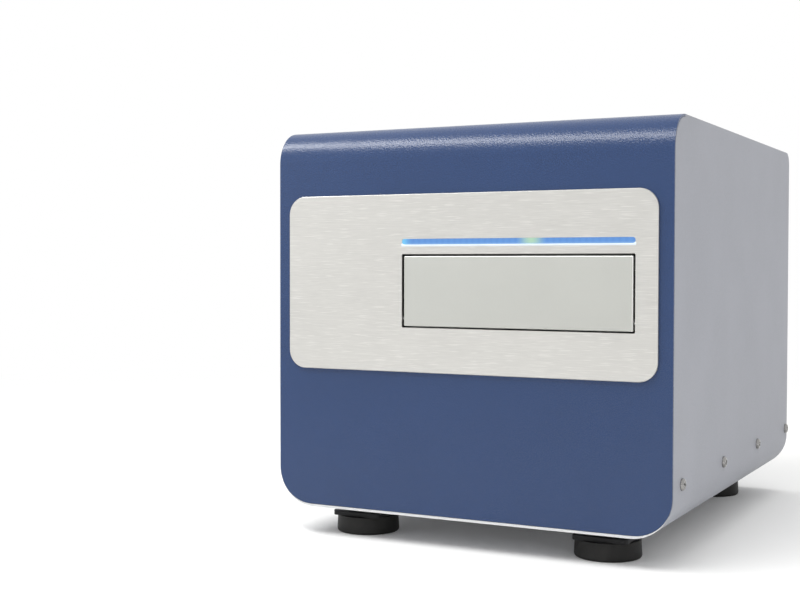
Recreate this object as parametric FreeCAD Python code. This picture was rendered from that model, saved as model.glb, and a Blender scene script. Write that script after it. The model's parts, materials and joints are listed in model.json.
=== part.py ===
import FreeCAD, Part
import math
import os
from FreeCAD import Vector

# An automated cell counter: a painted sheet-metal bench instrument. A drop-down door in its
# brushed front plate lets a plate tray slide out. Inside, an optical head runs under the tray.
# Millimetres. X runs to the right, Y from the front to the back, Z up from the table.
# The origin is on the table, under the middle of the instrument.

# Case
width = 340.0
depth = 415.0
body_height = 315.8
foot_height = 24.0
case_sheet = 2.0
cover_sheet = 2.0
seam_gap = 0.4
apron_lift = 2.3
apron_gap = 0.2
bottom_bend = 32.0
front_bend = 28.0
rear_bend = 12.0
cover_return = 12.0
rear_lip_overlap = 14.0
ledge_width = 12.0
ledge_end_gap = 6.0

# Case screws
side_screw_height = 39.3
side_screw_first = 25.2
side_screw_last = 8.8
side_screw_count = 4
side_screw_radius = 2.5
side_head_radius = 4.75
side_head_height = 2.8
side_screw_length = 5.5
rear_screw_radius = 2.0
rear_head_radius = 3.6
rear_head_height = 2.2
rear_screw_length = 5.0
rear_screw_count = 4
rear_screw_edge = 40.0
driver_slot_width = 1.1
driver_slot_depth = 1.2
screw_hole_gap = 0.25

# Feet
foot_inset = 62.7
foot_front = 41.7
foot_rear = 54.1
foot_radius = 26.6
foot_top_radius = 26.0
foot_edge = 1.5
foot_rubber_height = 14.5
foot_plate_size = 45.0
foot_plate_corner = 4.0
foot_plate_thickness = 4.0
foot_boss_radius = 17.0
foot_recess_radius = 8.0
foot_recess_depth = 8.0
foot_screw_radius = 2.5
foot_head_radius = 5.0
foot_head_height = 3.5
foot_nut_height = 4.0
foot_nut_gap = 1.0

# Vent slots in the underside
vent_slot_length = 46.0
vent_slot_width = 4.0
vent_slot_pitch = 11.0
vent_slot_count = 9
vent_centre_depth = 200.0

# Brushed front plate
plate_side_gap = 10.9
plate_height = 143.2
plate_bottom = 116.8
plate_thickness = 2.5
plate_corner = 15.0
plate_edge = 0.5
plate_stud_radius = 1.5
plate_stud_length = 6.5
plate_stud_edge = 10.0
plate_nut_radius = 3.1
plate_nut_height = 2.4

# Port and door
port_side_gap = 17.2
port_width = 194.0
port_height = 59.2
port_bottom = 152.7
port_corner = 1.2
door_side_gap = 1.85
door_bottom_gap = 1.3
door_top_gap = 1.7
door_thickness = 3.5
door_skin = 2.0
door_edge = 0.8
door_rim = 2.5
door_rib_count = 4
hinge_above_edge = 6.0
hinge_depth = 4.2
hinge_barrel_radius = 2.9
hinge_pin_radius = 1.5
running_gap = 0.08
frame_wall = 2.5
frame_depth = 30.0
frame_flange = 3.0
frame_flange_side = 12.0
frame_flange_top = 4.2
frame_flange_bottom = 8.0
frame_screw_radius = 1.5
panel_gap = 0.3

# Door drive
gear_module = 1.0
sector_teeth = 26
pinion_teeth = 10
gear_backlash = 0.7
gear_thickness = 4.0
gear_side_gap = 0.7
door_travel = 80.0
door_motor_radius = 9.0
door_motor_length = 32.0
door_motor_shaft = 1.5
motor_wall = 2.5

# Light bar
light_bar_height = 4.6
light_bar_middle = 221.8
light_fit = 0.1
light_flange = 2.6
light_flange_thickness = 2.0
light_board_height = 12.0
light_board_margin = 12.0
light_led_size = 5.0
light_led_height = 1.6
light_led_count = 12
board_thickness = 1.6
light_post_radius = 2.5

# Chassis
base_gap = 0.2
base_sheet = 2.5
base_flange_height = 54.0
base_front = 16.0
base_rear = 22.0
upright_sheet = 4.0
upright_front = 34.0
upright_rear = 12.0
upright_top = 204.0
upright_flange = 18.0
upright_window_margin = 24.0
upright_window_corner = 12.0

# Tray and its slide
nest_length = 127.76
nest_width = 85.48
nest_gap = 0.6
nest_ledge = 5.5
nest_depth = 9.0
nest_floor = 3.0
tray_side_wall = 5.0
tray_end_wall = 9.0
tray_corner = 6.0
tray_above_hinge = 26.0
finger_notch = 34.0
nest_corner = 2.0
window_corner = 3.0
carriage_rear_gap = 26.0
carriage_out_depth = 35.0
carriage_length = 40.0
carriage_thickness = 6.0
carriage_slot_half = 14.0
carriage_slot_edge = 12.0
arm_thickness = 6.0
arm_width = 96.0
arm_reach = 54.0
arm_window_edge = 14.0
rail_thickness = 6.0
rail_height = 12.0
rail_groove = 1.6
rail_above_tray = 4.0
rail_end_gap = 4.0
block_reach = 10.0
block_cover = 6.0
slide_gap = 0.3
pulley_radius = 8.0
pulley_width = 7.0
pulley_flange = 1.0
pulley_below_rail = 17.5
idler_depth = 48.0
drive_rear_gap = 25.0
belt_width = 6.0
belt_thickness = 1.4
belt_gap = 0.1
idler_axle_radius = 2.5
clamp_length = 14.0
clamp_on_carriage = 17.0
clamp_plate = 3.0
axle_head_thickness = 1.5
motor_size = 35.0
motor_length = 34.0
motor_corner = 4.0
motor_pilot_radius = 11.0
motor_pilot_height = 2.0
motor_pilot_gap = 0.2
motor_waist = 0.8
motor_cap_share = 0.25
shaft_radius = 2.5
shaft_bore_depth = 14.0

# Optical head and its slides
beam_behind_axis = 52.0
beam_thickness = 6.0
beam_bottom = 50.0
beam_top = 152.0
cross_rail_lower = 64.0
cross_rail_upper = 138.0
well_pitch = 9.0
well_columns = 12
rail_overrun = 4.5
beam_window_count = 3
beam_window_half = 20.0
beam_window_corner = 8.0
beam_window_edge = 6.0
optics_bracket_half = 30.0
optics_bracket_thickness = 6.0
shelf_thickness = 4.0
leadscrew_radius = 4.0
leadscrew_height = 101.0
leadscrew_nut_radius = 7.0
leadscrew_nut_half = 8.0
leadscrew_end = 3.0
camera_size = 42.0
camera_height = 42.0
camera_bottom = 36.0
camera_neck = 6.0
camera_fin_pitch = 5.0
camera_fin_gap = 2.0
camera_fin_depth = 1.5
camera_fin_count = 5
optics_corner = 3.0
tube_radius = 12.0
tube_height = 22.0
tube_wall = 3.0
tube_ring_low = 5.0
tube_ring_high = 12.0
ring_step = 0.8
wheel_radius = 28.0
wheel_thickness = 3.0
wheel_offset = 19.0
wheel_gap = 1.5
wheel_window_radius = 6.5
wheel_window_count = 6
wheel_motor_radius = 6.0
filter_inset = 0.5
wheel_spindle_radius = 1.5
cube_size = 34.0
cube_height = 34.0
cube_bore_radius = 10.0
engine_width = 30.0
engine_depth = 42.0
engine_fin_count = 8
engine_fin = 1.6
engine_core = 4.0
engine_wall = 3.0
objective_radius = 13.0
objective_tip_radius = 8.0
objective_length = 40.0
objective_clearance = 4.0
objective_shoulder = 0.7
objective_dish = 1.5
knurl_below_shoulder = 9.0
knurl_height = 7.0
focus_travel = 2.5
focus_ring_wall = 5.0
focus_ring_height = 10.0
focus_arm_half = 12.0
focus_lug_half = 5.0
focus_screw_radius = 2.0
focus_screw_offset = 21.0
focus_motor_size = 16.0
focus_motor_height = 20.0

# Light panel over the tray
bridge_sheet = 3.0
bridge_height = 40.0
bridge_overlap = 14.0
bridge_half_depth = 36.0
panel_half_width = 64.0
panel_half_depth = 33.0
panel_thickness = 7.0
panel_glass = 2.0
panel_rim = 4.0

# Electronics and rear panel
rear_sheet = 2.0
rear_flange = 15.0
fan_size = 80.0
fan_thickness = 25.0
fan_corner = 5.0
fan_bore_radius = 37.5
fan_hub_radius = 18.0
fan_blade_count = 7
fan_blade_thickness = 1.6
fan_blade_gap = 1.2
fan_blade_turn = 34.0
fan_blade_sections = 3
fan_blade_root = 1.5
fan_blade_edge = 2.0
fan_front_gap = 1.0
fan_side_gap = 60.0
fan_centre_height = 236.0
fan_hole_spacing = 71.5
fan_strut_width = 4.0
fan_back = 4.0
fan_shaft_radius = 1.5
grille_cell = 6.5
grille_hole_radius = 2.8
inlet_side_gap = 60.0
inlet_height = 62.0
inlet_flange = 2.0
inlet_flange_width = 50.0
inlet_flange_height = 58.0
inlet_body_width = 28.0
inlet_body_height = 48.0
inlet_body_depth = 28.0
inlet_cavity_width = 24.4
inlet_cavity_height = 16.6
inlet_cavity_depth = 17.0
inlet_pin_recess = 5.0
inlet_pin_side = 7.0
inlet_pin_drop = 1.0
inlet_pin_rise = 3.0
inlet_pin_width = 2.0
inlet_pin_height = 4.0
inlet_chamfer = 4.5
inlet_corner = 4.0
inlet_margin = 1.0
switch_width = 21.5
switch_height = 14.0
switch_wall = 1.5
switch_depth = 9.0
rocker_tilt = 9.0
rocker_gap = 0.4
rocker_rise = 2.0
rocker_root = 2.6
rocker_seat = 1.2
rocker_root_share = 0.6
rocker_dish = 0.4
rocker_pin_radius = 1.0
rocker_pin_reach = 1.5
rocker_bore_depth = 3.0
usb_from_inlet = 130.0
usb_height = 62.0
usb_flange_width = 38.0
usb_flange_height = 17.0
usb_flange_thickness = 1.6
usb_shell_width = 12.0
usb_shell_height = 11.0
usb_shell_wall = 0.8
usb_shell_depth = 18.0
usb_tongue_recess = 4.6
usb_lining = 0.9
usb_back = 3.0
usb_tongue_half_width = 2.8
usb_tongue_half_height = 1.5
usb_screw_inset = 6.0
usb_screw_length = 5.5
usb_head_radius = 2.5
usb_head_height = 1.6
usb_nut_radius = 2.9
usb_nut_height = 2.0
supply_front = 60.0
supply_length = 165.0
supply_height = 40.0
supply_side_gap = 33.0
supply_frame_gap = 9.9
supply_sheet = 1.5
supply_slot_count = 10
supply_slot_pitch = 12.0
supply_slot_width = 4.0
supply_slot_edge = 12.0
terminal_inset = 10.0
terminal_depth = 13.0
terminal_height = 14.5
transformer_length = 45.0
transformer_inset = 30.0
transformer_height = 28.5
transformer_side = 14.0
can_radius = 9.0
can_height = 30.5
can_side = 18.0
can_pitch = 24.0
can_count = 3
main_board_front = 60.0
board_motor_gap = 37.5
main_board_bottom = 74.0
main_board_height = 118.0
driver_board_front = 56.0
driver_board_length = 90.0
driver_board_width = 110.0
standoff_radius = 3.0
standoff_height = 8.0
standoff_inset = 6.0
large_chip = 22.0
middle_chip = 16.0
small_chip = 14.0
chip_height = 2.4
connector_length = 14.0
connector_depth = 9.0
connector_height = 9.0
connector_pitch = 20.0
connector_edge = 8.0
capacitor_radius = 4.0
capacitor_height = 12.0
capacitor_pitch = 11.0
board_row_count = 4
sink_fin = 1.6
sink_pitch = 4.0
sink_fin_count = 5
sink_depth = 24.0
sink_height = 11.0

# Places worked out from the sizes above
plate_width = width - 2 * plate_side_gap
port_offset = plate_width / 2 - port_side_gap - port_width / 2
side_screw_pitch = (depth - side_screw_first - side_screw_last) / (side_screw_count - 1)
front_y = (plate_thickness - rear_head_height - depth) / 2
rear_y = front_y + depth
under_z = foot_height
top_z = under_z + body_height
wrap_inset = case_sheet + seam_gap
rear_panel_y = rear_y - cover_sheet
floor_z = under_z + case_sheet + base_gap + base_sheet
hinge_y = front_y - plate_thickness + hinge_depth
hinge_z = under_z + port_bottom + door_bottom_gap + hinge_above_edge
port_left = port_offset - port_width / 2
port_right = port_offset + port_width / 2
port_low = under_z + port_bottom
port_high = port_low + port_height
tray_z = hinge_z + tray_above_hinge
tray_half = nest_length / 2 + nest_gap + tray_side_wall
tray_length = nest_width + 2 * nest_gap + tray_end_wall * 2
carriage_y = rear_panel_y - rear_sheet - carriage_rear_gap - carriage_length
tray_y = carriage_y - arm_reach - tray_length
tray_travel = carriage_y - front_y - carriage_out_depth
axis_y = tray_y + tray_length / 2
rail_z = tray_z + rail_above_tray
optics_travel = well_pitch * (well_columns - 1) / 2
upright_half_gap = optics_bracket_half + optics_travel + rail_overrun + rail_end_gap
web_left = port_offset - upright_half_gap
web_right = port_offset + upright_half_gap
pulley_z = rail_z - pulley_below_rail - pulley_radius
idler_y = front_y + idler_depth
drive_y = rear_y - drive_rear_gap
beam_y = axis_y + beam_behind_axis
shelf_low_z = camera_bottom + camera_height
wheel_z = shelf_low_z + shelf_thickness + tube_height + wheel_gap
shelf_high_z = wheel_z + wheel_thickness + wheel_gap
cube_z = shelf_high_z + shelf_thickness
objective_top = tray_z - objective_clearance
objective_bottom = objective_top - objective_length
bracket_front = beam_y - block_reach - optics_bracket_thickness
focus_y = bracket_front - focus_motor_size / 2
sector_x = port_left - frame_wall - gear_side_gap
pinion_y = hinge_y + gear_module * (sector_teeth + pinion_teeth) / 2
fan_z = under_z + fan_centre_height
supply_z = floor_z
supply_left = supply_side_gap - width / 2
supply_right = web_left - upright_sheet - supply_frame_gap
fan_centre_side = width / 2 - fan_side_gap
inlet_side = width / 2 - inlet_side_gap
usb_side = usb_from_inlet - inlet_side
cross_screw_y = beam_y - block_reach / 2
main_board_length = cross_screw_y - motor_size / 2 - board_motor_gap - front_y - main_board_front
pulley_x = web_left + 2 * pulley_flange
bridge_top = under_z + upright_top + bridge_height - bridge_overlap


def box(x0, x1, y0, y1, z0, z1):
    """A block between two opposite corners."""
    return Part.makeBox(x1 - x0, y1 - y0, z1 - z0, Vector(x0, y0, z0))


def rod(radius, start, end):
    """A round bar from one point to another."""
    first = Vector(*start)
    axis = Vector(*end) - first
    return Part.makeCylinder(radius, axis.Length, first, axis)


def hexagon_rod(radius, start, end):
    """A hexagonal bar, its corners at the given radius."""
    first = Vector(*start)
    axis = Vector(*end) - first
    corners = [Vector(radius * math.cos(index * math.pi / 3), radius * math.sin(index * math.pi / 3), 0)
               for index in range(7)]
    bar = Part.Face(Part.makePolygon(corners)).extrude(Vector(0, 0, axis.Length))
    bar.Placement = FreeCAD.Placement(first, FreeCAD.Rotation(Vector(0, 0, 1), axis))
    return bar


def fuse(shapes):
    """One solid from several that meet."""
    return shapes[0].multiFuse(shapes[1:]).removeSplitter()


def group(shapes):
    """Several separate solids kept as one node."""
    return Part.makeCompound(shapes)


def moved(shape, x=0.0, y=0.0, z=0.0):
    """A copy of a shape at another place."""
    return shape.translated(Vector(x, y, z))


def turned(shape, axis, angle, centre=(0, 0, 0)):
    """A copy of a shape turned about an axis through a point."""
    copy = shape.copy()
    copy.rotate(Vector(*centre), Vector(*axis), angle)
    return copy


def mirrored_x(shape, middle=0.0):
    """A copy of a shape mirrored from left to right."""
    return shape.mirror(Vector(middle, 0, 0), Vector(1, 0, 0))


def round_edges(shape, along, radius, chosen=lambda point: True):
    """Round the straight edges that run along one axis and whose middle is chosen."""
    direction = {"x": Vector(1, 0, 0), "y": Vector(0, 1, 0), "z": Vector(0, 0, 1)}[along]
    edges = []
    for edge in shape.Edges:
        if len(edge.Vertexes) < 2 or edge.Curve.TypeId != "Part::GeomLine":
            continue
        step = edge.Vertexes[1].Point - edge.Vertexes[0].Point
        middle = (edge.Vertexes[1].Point + edge.Vertexes[0].Point) / 2
        if abs(step.dot(direction)) > 0.999 * step.Length and chosen(middle):
            edges.append(edge)
    return shape.makeFillet(radius, edges)


def rounded_block(x0, x1, y0, y1, z0, z1, radius, along):
    """A block with its four edges along one axis rounded."""
    return round_edges(box(x0, x1, y0, y1, z0, z1), along, radius)


def wrap_block(inset, y0, y1, top):
    """A block inside the case's outline, its two lower edges following the bends."""
    half = width / 2 - inset
    low = under_z + inset
    block = box(-half, half, y0, y1, low, top)
    return round_edges(block, "y", bottom_bend - inset, lambda point: point.z < low + 1)


def side_block(half_width, inset, low):
    """A block with the instrument's side profile, rounded at the front and rear of its top."""
    block = box(-half_width, half_width, front_y + inset, rear_y - inset, low, top_z - inset)
    high = top_z - inset - 1
    block = round_edges(block, "x", front_bend - inset, lambda point: point.z > high and point.y < 0)
    return round_edges(block, "x", rear_bend - inset, lambda point: point.z > high and point.y > 0)


def apron_block(gap, y0, y1):
    """A block across the whole front, grown by a gap, above the wrap's lower front edge."""
    half = width / 2 + gap
    low = under_z + apron_lift - gap
    block = box(-half, half, y0, y1, low, top_z + 1)
    return round_edges(block, "y", bottom_bend - apron_lift + gap, lambda point: point.z < low + 1)


def side_screw_places():
    """Where the case screws stand along the depth."""
    first = front_y + side_screw_first
    return [first + index * side_screw_pitch for index in range(side_screw_count)]


def foot_places():
    """The middle of each foot."""
    return [(side * (width / 2 - foot_inset), y)
            for side in (-1, 1) for y in (front_y + foot_front, rear_y - foot_rear)]


def plate_stud_places():
    """Where the front plate's studs pass through the cover."""
    reach = plate_width / 2 - plate_stud_edge
    low = under_z + plate_bottom + plate_stud_edge
    high = under_z + plate_bottom + plate_height - plate_stud_edge
    return [(x, z) for x in (-reach, 0, reach) for z in (low, high)]


def rear_screw_places():
    """Where the cover's rear lip is screwed to the rear panel."""
    reach = width / 2 - rear_screw_edge
    step = 2 * reach / (rear_screw_count - 1)
    z = top_z - rear_bend - rear_lip_overlap / 2
    return [(-reach + index * step, z) for index in range(rear_screw_count)]


def fan_screw_places():
    """Where the fan is screwed to the rear panel."""
    reach = fan_hole_spacing / 2
    return [(side * reach - fan_centre_side, fan_z + up * reach) for side in (-1, 1) for up in (-1, 1)]


def pan_screw(radius, length, head_radius, head_height):
    """A cross-recess pan-head screw, its seat at the origin and its head towards +Z."""
    dome = (head_radius ** 2 + head_height ** 2) / (2 * head_height)
    ball = Part.makeSphere(dome, Vector(0, 0, head_height - dome))
    head = ball.common(Part.makeCylinder(head_radius + 1, head_height + 1))
    reach = head_radius * 0.55
    slots = [box(-reach, reach, -driver_slot_width / 2, driver_slot_width / 2,
                 head_height - driver_slot_depth, head_height + 1)]
    slots.append(turned(slots[0], (0, 0, 1), 90))
    shank = Part.makeCylinder(radius, length, Vector(0, 0, -length))
    return fuse([head.cut(slots), shank])


def placed(shape, point, direction):
    """A copy of a shape with its +Z turned to a direction and its origin at a point."""
    copy = shape.copy()
    turn = FreeCAD.Rotation(Vector(0, 0, 1), Vector(*direction))
    copy.Placement = FreeCAD.Placement(Vector(*point), turn)
    return copy


def make_lower_case():
    """The grey sheet that wraps the left side, the bottom and the right side."""
    outer = wrap_block(0, front_y, rear_y, top_z)
    inner = wrap_block(case_sheet, front_y - 1, rear_y + 1, top_z + 1)
    shell = outer.cut(inner).common(side_block(width, 0, under_z - 1))
    trim = apron_block(apron_gap, front_y - 1, front_y + front_bend + apron_gap)
    shell = shell.cut(trim.cut(side_block(width, cover_sheet + apron_gap, 0)))
    inside = width / 2 - case_sheet
    ledge_top = top_z - cover_sheet
    ledge = box(-inside, -inside + ledge_width, front_y + front_bend + ledge_end_gap,
                rear_y - rear_bend - ledge_end_gap, ledge_top - case_sheet, ledge_top)
    shell = fuse([shell, ledge, mirrored_x(ledge)])
    z = under_z + side_screw_height
    holes = [rod(side_screw_radius + screw_hole_gap, (-width, y, z), (width, y, z))
             for y in side_screw_places()]
    holes += [rod(foot_screw_radius + screw_hole_gap, (x, y, 0), (x, y, floor_z + 1))
              for x, y in foot_places()]
    return shell.cut(holes + vent_slots(under_z - 1, floor_z + 1))


def vent_slots(low, high):
    """Two rows of cooling slots, as solids to cut away."""
    slots = []
    first = front_y + vent_centre_depth - vent_slot_pitch * (vent_slot_count - 1) / 2
    for side in (-1, 1):
        middle = side * (width / 4)
        for index in range(vent_slot_count):
            y = first + index * vent_slot_pitch
            slots.append(rounded_block(middle - vent_slot_length / 2, middle + vent_slot_length / 2,
                                       y - vent_slot_width / 2, y + vent_slot_width / 2,
                                       low, high, vent_slot_width * 0.49, "z"))
    return slots


def sector_notch(y0, y1):
    """The space the door's sector gear turns in, as a solid to cut away."""
    reach = gear_module * (sector_teeth / 2 + 1) + 1.5
    return box(sector_x - gear_thickness - 1, port_left - frame_wall, y0, y1,
               hinge_z - reach, hinge_z + reach)


def make_upper_cover():
    """The blue sheet that is the front, the front bend, the top and the rear lip."""
    half = width / 2 - wrap_inset
    body = side_block(half, 0, under_z + wrap_inset)
    body = body.common(wrap_block(wrap_inset, front_y - 1, rear_y + 1, top_z + 1))
    apron = side_block(width / 2, 0, under_z).common(apron_block(0, front_y - 1, front_y + front_bend))
    lip_bottom = top_z - rear_bend - rear_lip_overlap
    sheet = fuse([body, apron]).cut([side_block(width, cover_sheet, 0),
                      box(-width, width, rear_y - rear_bend, rear_y + 1, 0, lip_bottom)])
    bend_start = top_z - front_bend
    rim = wrap_block(wrap_inset, front_y, front_y + cover_return, bend_start)
    rim = rim.cut(wrap_block(wrap_inset + cover_sheet, front_y - 1, front_y + cover_return + 1, top_z))
    sheet = fuse([sheet, rim])
    y0, y1 = front_y - 1, front_y + cover_sheet + 1
    gap = frame_wall + panel_gap
    cuts = [box(port_left - gap, port_right + gap, y0, y1, port_low - gap, port_high + gap),
            sector_notch(y0, y1), light_slot(panel_gap, y0, y1)]
    cuts += [rod(plate_stud_radius + screw_hole_gap, (x, y0, z), (x, y1, z))
             for x, z in plate_stud_places()]
    cuts += [rod(rear_screw_radius + screw_hole_gap, (x, rear_y - 5, z), (x, rear_y + 1, z))
             for x, z in rear_screw_places()]
    return sheet.cut(cuts)


def light_slot(gap, y0, y1):
    """The light bar's round-ended outline, widened by a gap, between two depths."""
    half = port_width / 2 + gap
    middle = under_z + light_bar_middle
    reach = light_bar_height / 2 + gap
    return rounded_block(port_offset - half, port_offset + half, y0, y1, middle - reach, middle + reach,
                         reach * 0.98, "y")


def make_front_plate():
    """The brushed plate on the front, with the port, the light slot and its rear studs."""
    low = under_z + plate_bottom
    face = front_y - plate_thickness
    plate = rounded_block(-plate_width / 2, plate_width / 2, face, front_y, low, low + plate_height,
                          plate_corner, "y")
    rim = [edge for edge in plate.Edges if abs(edge.BoundBox.YMax - face) < 0.01]
    plate = plate.makeChamfer(plate_edge, rim)
    opening = rounded_block(port_left, port_right, face - 1, front_y + 1, port_low, port_high,
                            port_corner, "y")
    plate = plate.cut([opening, light_slot(0, face - 1, front_y + 1)])
    studs = [rod(plate_stud_radius, (x, front_y - 1, z), (x, front_y + plate_stud_length, z))
             for x, z in plate_stud_places()]
    return fuse([plate] + studs)


def make_plate_nuts():
    """The nuts that hold the front plate's studs inside the cover."""
    seat = front_y + cover_sheet
    return group([hexagon_rod(plate_nut_radius, (x, seat, z), (x, seat + plate_nut_height, z))
                  .cut(rod(plate_stud_radius + screw_hole_gap / 2, (x, seat - 1, z), (x, seat + 5, z)))
                  for x, z in plate_stud_places()])


def make_port_frame():
    """The moulded tunnel behind the front plate, with the hinge seats and the door motor's wall."""
    y0, flange_y = front_y, front_y + cover_sheet
    tunnel = box(port_left - frame_wall, port_right + frame_wall, y0, y0 + frame_depth,
                 port_low - frame_wall, port_high + frame_wall)
    side = frame_wall + frame_flange_side
    flange = rounded_block(port_left - side, port_right + side, flange_y, flange_y + frame_flange,
                           port_low - frame_flange_bottom, port_high + frame_flange_top,
                           frame_flange_top * 0.9, "y")
    wall_x = sector_x - gear_thickness - gear_side_gap
    wall = rounded_block(wall_x - motor_wall, wall_x, flange_y, pinion_y + door_motor_radius + 2,
                         hinge_z - door_motor_radius - 2, hinge_z + door_motor_radius + 2, 2.0, "x")
    foot = box(wall_x - motor_wall - 4, wall_x, flange_y, flange_y + frame_flange,
               hinge_z - door_motor_radius - 2, hinge_z + door_motor_radius + 2)
    body = fuse([tunnel, flange, wall, foot])
    seat = hinge_pin_radius + running_gap
    cuts = [box(port_left, port_right, y0 - 1, y0 + frame_depth + 1, port_low, port_high),
            sector_notch(flange_y - 1, flange_y + frame_flange + 1),
            rod(door_motor_shaft + 1, (wall_x - motor_wall - 1, pinion_y, hinge_z),
                (wall_x + 1, pinion_y, hinge_z))]
    for x in (port_left - frame_wall - 1, port_right - 1):
        far = x + frame_wall + 2
        cuts.append(rod(seat, (x, hinge_y, hinge_z), (far, hinge_y, hinge_z)))
        cuts.append(box(x, far, y0 - 1, hinge_y, hinge_z - seat, hinge_z + seat))
    inset = frame_wall + frame_flange_side / 2
    for x in (port_left - inset, port_right + inset):
        for z in (port_low, port_high - frame_flange_side / 2):
            cuts.append(rod(frame_screw_radius, (x, y0, z), (x, y0 + 2 * frame_depth, z)))
    return body.cut(cuts)


def door_box():
    """The door leaf's outline: its left, right, lower and upper edges."""
    return (port_left + door_side_gap, port_right - door_side_gap,
            port_low + door_bottom_gap, port_high - door_top_gap)


def make_door_leaf():
    """The drop-down door: a moulded leaf with inner ribs and a hinge barrel along its foot."""
    left, right, low, high = door_box()
    face = front_y - plate_thickness
    leaf = rounded_block(left, right, face, face + door_thickness, low, high, door_edge, "y")
    rim = [edge for edge in leaf.Edges if abs(edge.BoundBox.YMax - face) < 0.01]
    leaf = leaf.makeFillet(door_edge, rim)
    barrel = rod(hinge_barrel_radius, (left, hinge_y, hinge_z), (right, hinge_y, hinge_z))
    pocket_low = hinge_z + hinge_barrel_radius + door_rim
    span = (right - left - door_rim * (door_rib_count + 1)) / door_rib_count
    pockets = []
    for index in range(door_rib_count):
        x = left + door_rim + index * (span + door_rim)
        pockets.append(box(x, x + span, face + door_skin, face + door_thickness + 1,
                           pocket_low, high - door_rim))
    pins = make_door_pins()
    return fuse([leaf, barrel]).cut(pockets + pins.Solids)


def make_door_pins():
    """The two steel pins pressed into the ends of the hinge barrel."""
    left, right, low, high = door_box()
    depth_in_barrel = 8 * hinge_pin_radius
    return group([rod(hinge_pin_radius, (sector_x - gear_thickness, hinge_y, hinge_z),
                      (left + depth_in_barrel, hinge_y, hinge_z)),
                  rod(hinge_pin_radius, (right - depth_in_barrel, hinge_y, hinge_z),
                      (port_right + frame_wall, hinge_y, hinge_z))])


def gear_tooth(teeth, angle):
    """One straight-flanked tooth in the XY plane, at an angle from +X."""
    pitch = gear_module * teeth / 2
    half = (math.pi * gear_module - gear_backlash) / 4
    slope = math.tan(math.radians(22))
    outline = []
    for radius in (pitch - 1.25 * gear_module, pitch, pitch + 0.9 * gear_module):
        outline.append((radius, half - (radius - pitch) * slope))
    points = [Vector(radius, side, 0) for radius, side in outline]
    points += [Vector(radius, -side, 0) for radius, side in reversed(outline)]
    points.append(points[0])
    tooth = Part.Face(Part.makePolygon(points)).extrude(Vector(0, 0, gear_thickness))
    return turned(tooth, (0, 0, 1), angle)


def gear_blank(teeth):
    """The radius of a gear's body under its teeth, a little above the tooth roots."""
    return gear_module * (teeth / 2 - 1.15)


def make_door_sector():
    """The sector gear brazed to the left hinge pin, which the door motor's pinion turns."""
    pitch_angle = 360.0 / sector_teeth
    tooth_count = 2 + int(door_travel / pitch_angle)
    start = pitch_angle / 2
    angles = [start - index * pitch_angle for index in range(tooth_count + 1)]
    last = angles[-1]
    web = Part.makeCylinder(gear_blank(sector_teeth), gear_thickness, Vector(0, 0, 0), Vector(0, 0, 1),
                            start - last + 6)
    web = turned(web, (0, 0, 1), last - 3)
    gear = fuse([web] + [gear_tooth(sector_teeth, angle) for angle in angles])
    gear = gear.cut(Part.makeCylinder(hinge_pin_radius, gear_thickness))
    return placed_gear(gear, hinge_y)


def placed_gear(gear, y):
    """A gear drawn flat, turned so that its drawing's X is +Y, and put in the gear plane."""
    turn = FreeCAD.Rotation(Vector(0, 1, 0), Vector(0, 0, 1), Vector(1, 0, 0), "XYZ")
    gear.Placement = FreeCAD.Placement(Vector(sector_x - gear_thickness, y, hinge_z), turn)
    return gear


def make_door_pinion():
    """The pinion and its shaft, in mesh with the sector."""
    step = 360.0 / pinion_teeth
    teeth = [gear_tooth(pinion_teeth, 180 + index * step) for index in range(pinion_teeth)]
    blank = Part.makeCylinder(gear_blank(pinion_teeth), gear_thickness)
    length = gear_thickness + motor_wall + gear_side_gap + shaft_bore_depth / 2
    shaft = Part.makeCylinder(door_motor_shaft, length, Vector(0, 0, gear_thickness), Vector(0, 0, -1))
    return placed_gear(fuse([blank, shaft] + teeth), pinion_y)


def make_door_motor():
    """The small round gear motor on the frame's wall."""
    face = sector_x - gear_thickness - gear_side_gap - motor_wall
    end = face - door_motor_length
    body = rod(door_motor_radius, (face, pinion_y, hinge_z), (end, pinion_y, hinge_z))
    cap = rod(door_motor_radius * 0.7, (end, pinion_y, hinge_z), (end - 2, pinion_y, hinge_z))
    gap = door_motor_shaft + running_gap
    bore = rod(gap, (face + 1, pinion_y, hinge_z), (face - shaft_bore_depth, pinion_y, hinge_z))
    return fuse([body, cap]).cut(bore)


def make_light_lens():
    """The clear bar that shines in the front plate's slot."""
    bar = light_slot(-light_fit, front_y - plate_thickness, front_y + cover_sheet)
    flange = light_slot(light_flange, front_y + cover_sheet, front_y + cover_sheet + light_flange_thickness)
    return fuse([bar, flange])


def make_light_board():
    """The strip of lamps behind the light bar, on two posts."""
    back = front_y + cover_sheet + light_flange_thickness + light_led_height
    middle = under_z + light_bar_middle
    half = port_width / 2 + light_board_margin
    parts = [box(port_offset - half, port_offset + half, back, back + board_thickness,
                 middle - light_board_height / 2, middle + light_board_height / 2)]
    step = port_width / light_led_count
    for index in range(light_led_count):
        x = port_left + step * (index + 0.5)
        parts.append(box(x - light_led_size / 2, x + light_led_size / 2, back - light_led_height, back,
                         middle - light_led_size / 2, middle + light_led_size / 2))
    for side in (-1, 1):
        x = port_offset + side * (half - light_post_radius)
        parts.append(rod(light_post_radius, (x, front_y + cover_sheet, middle), (x, back, middle)))
    return fuse(parts)


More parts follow.
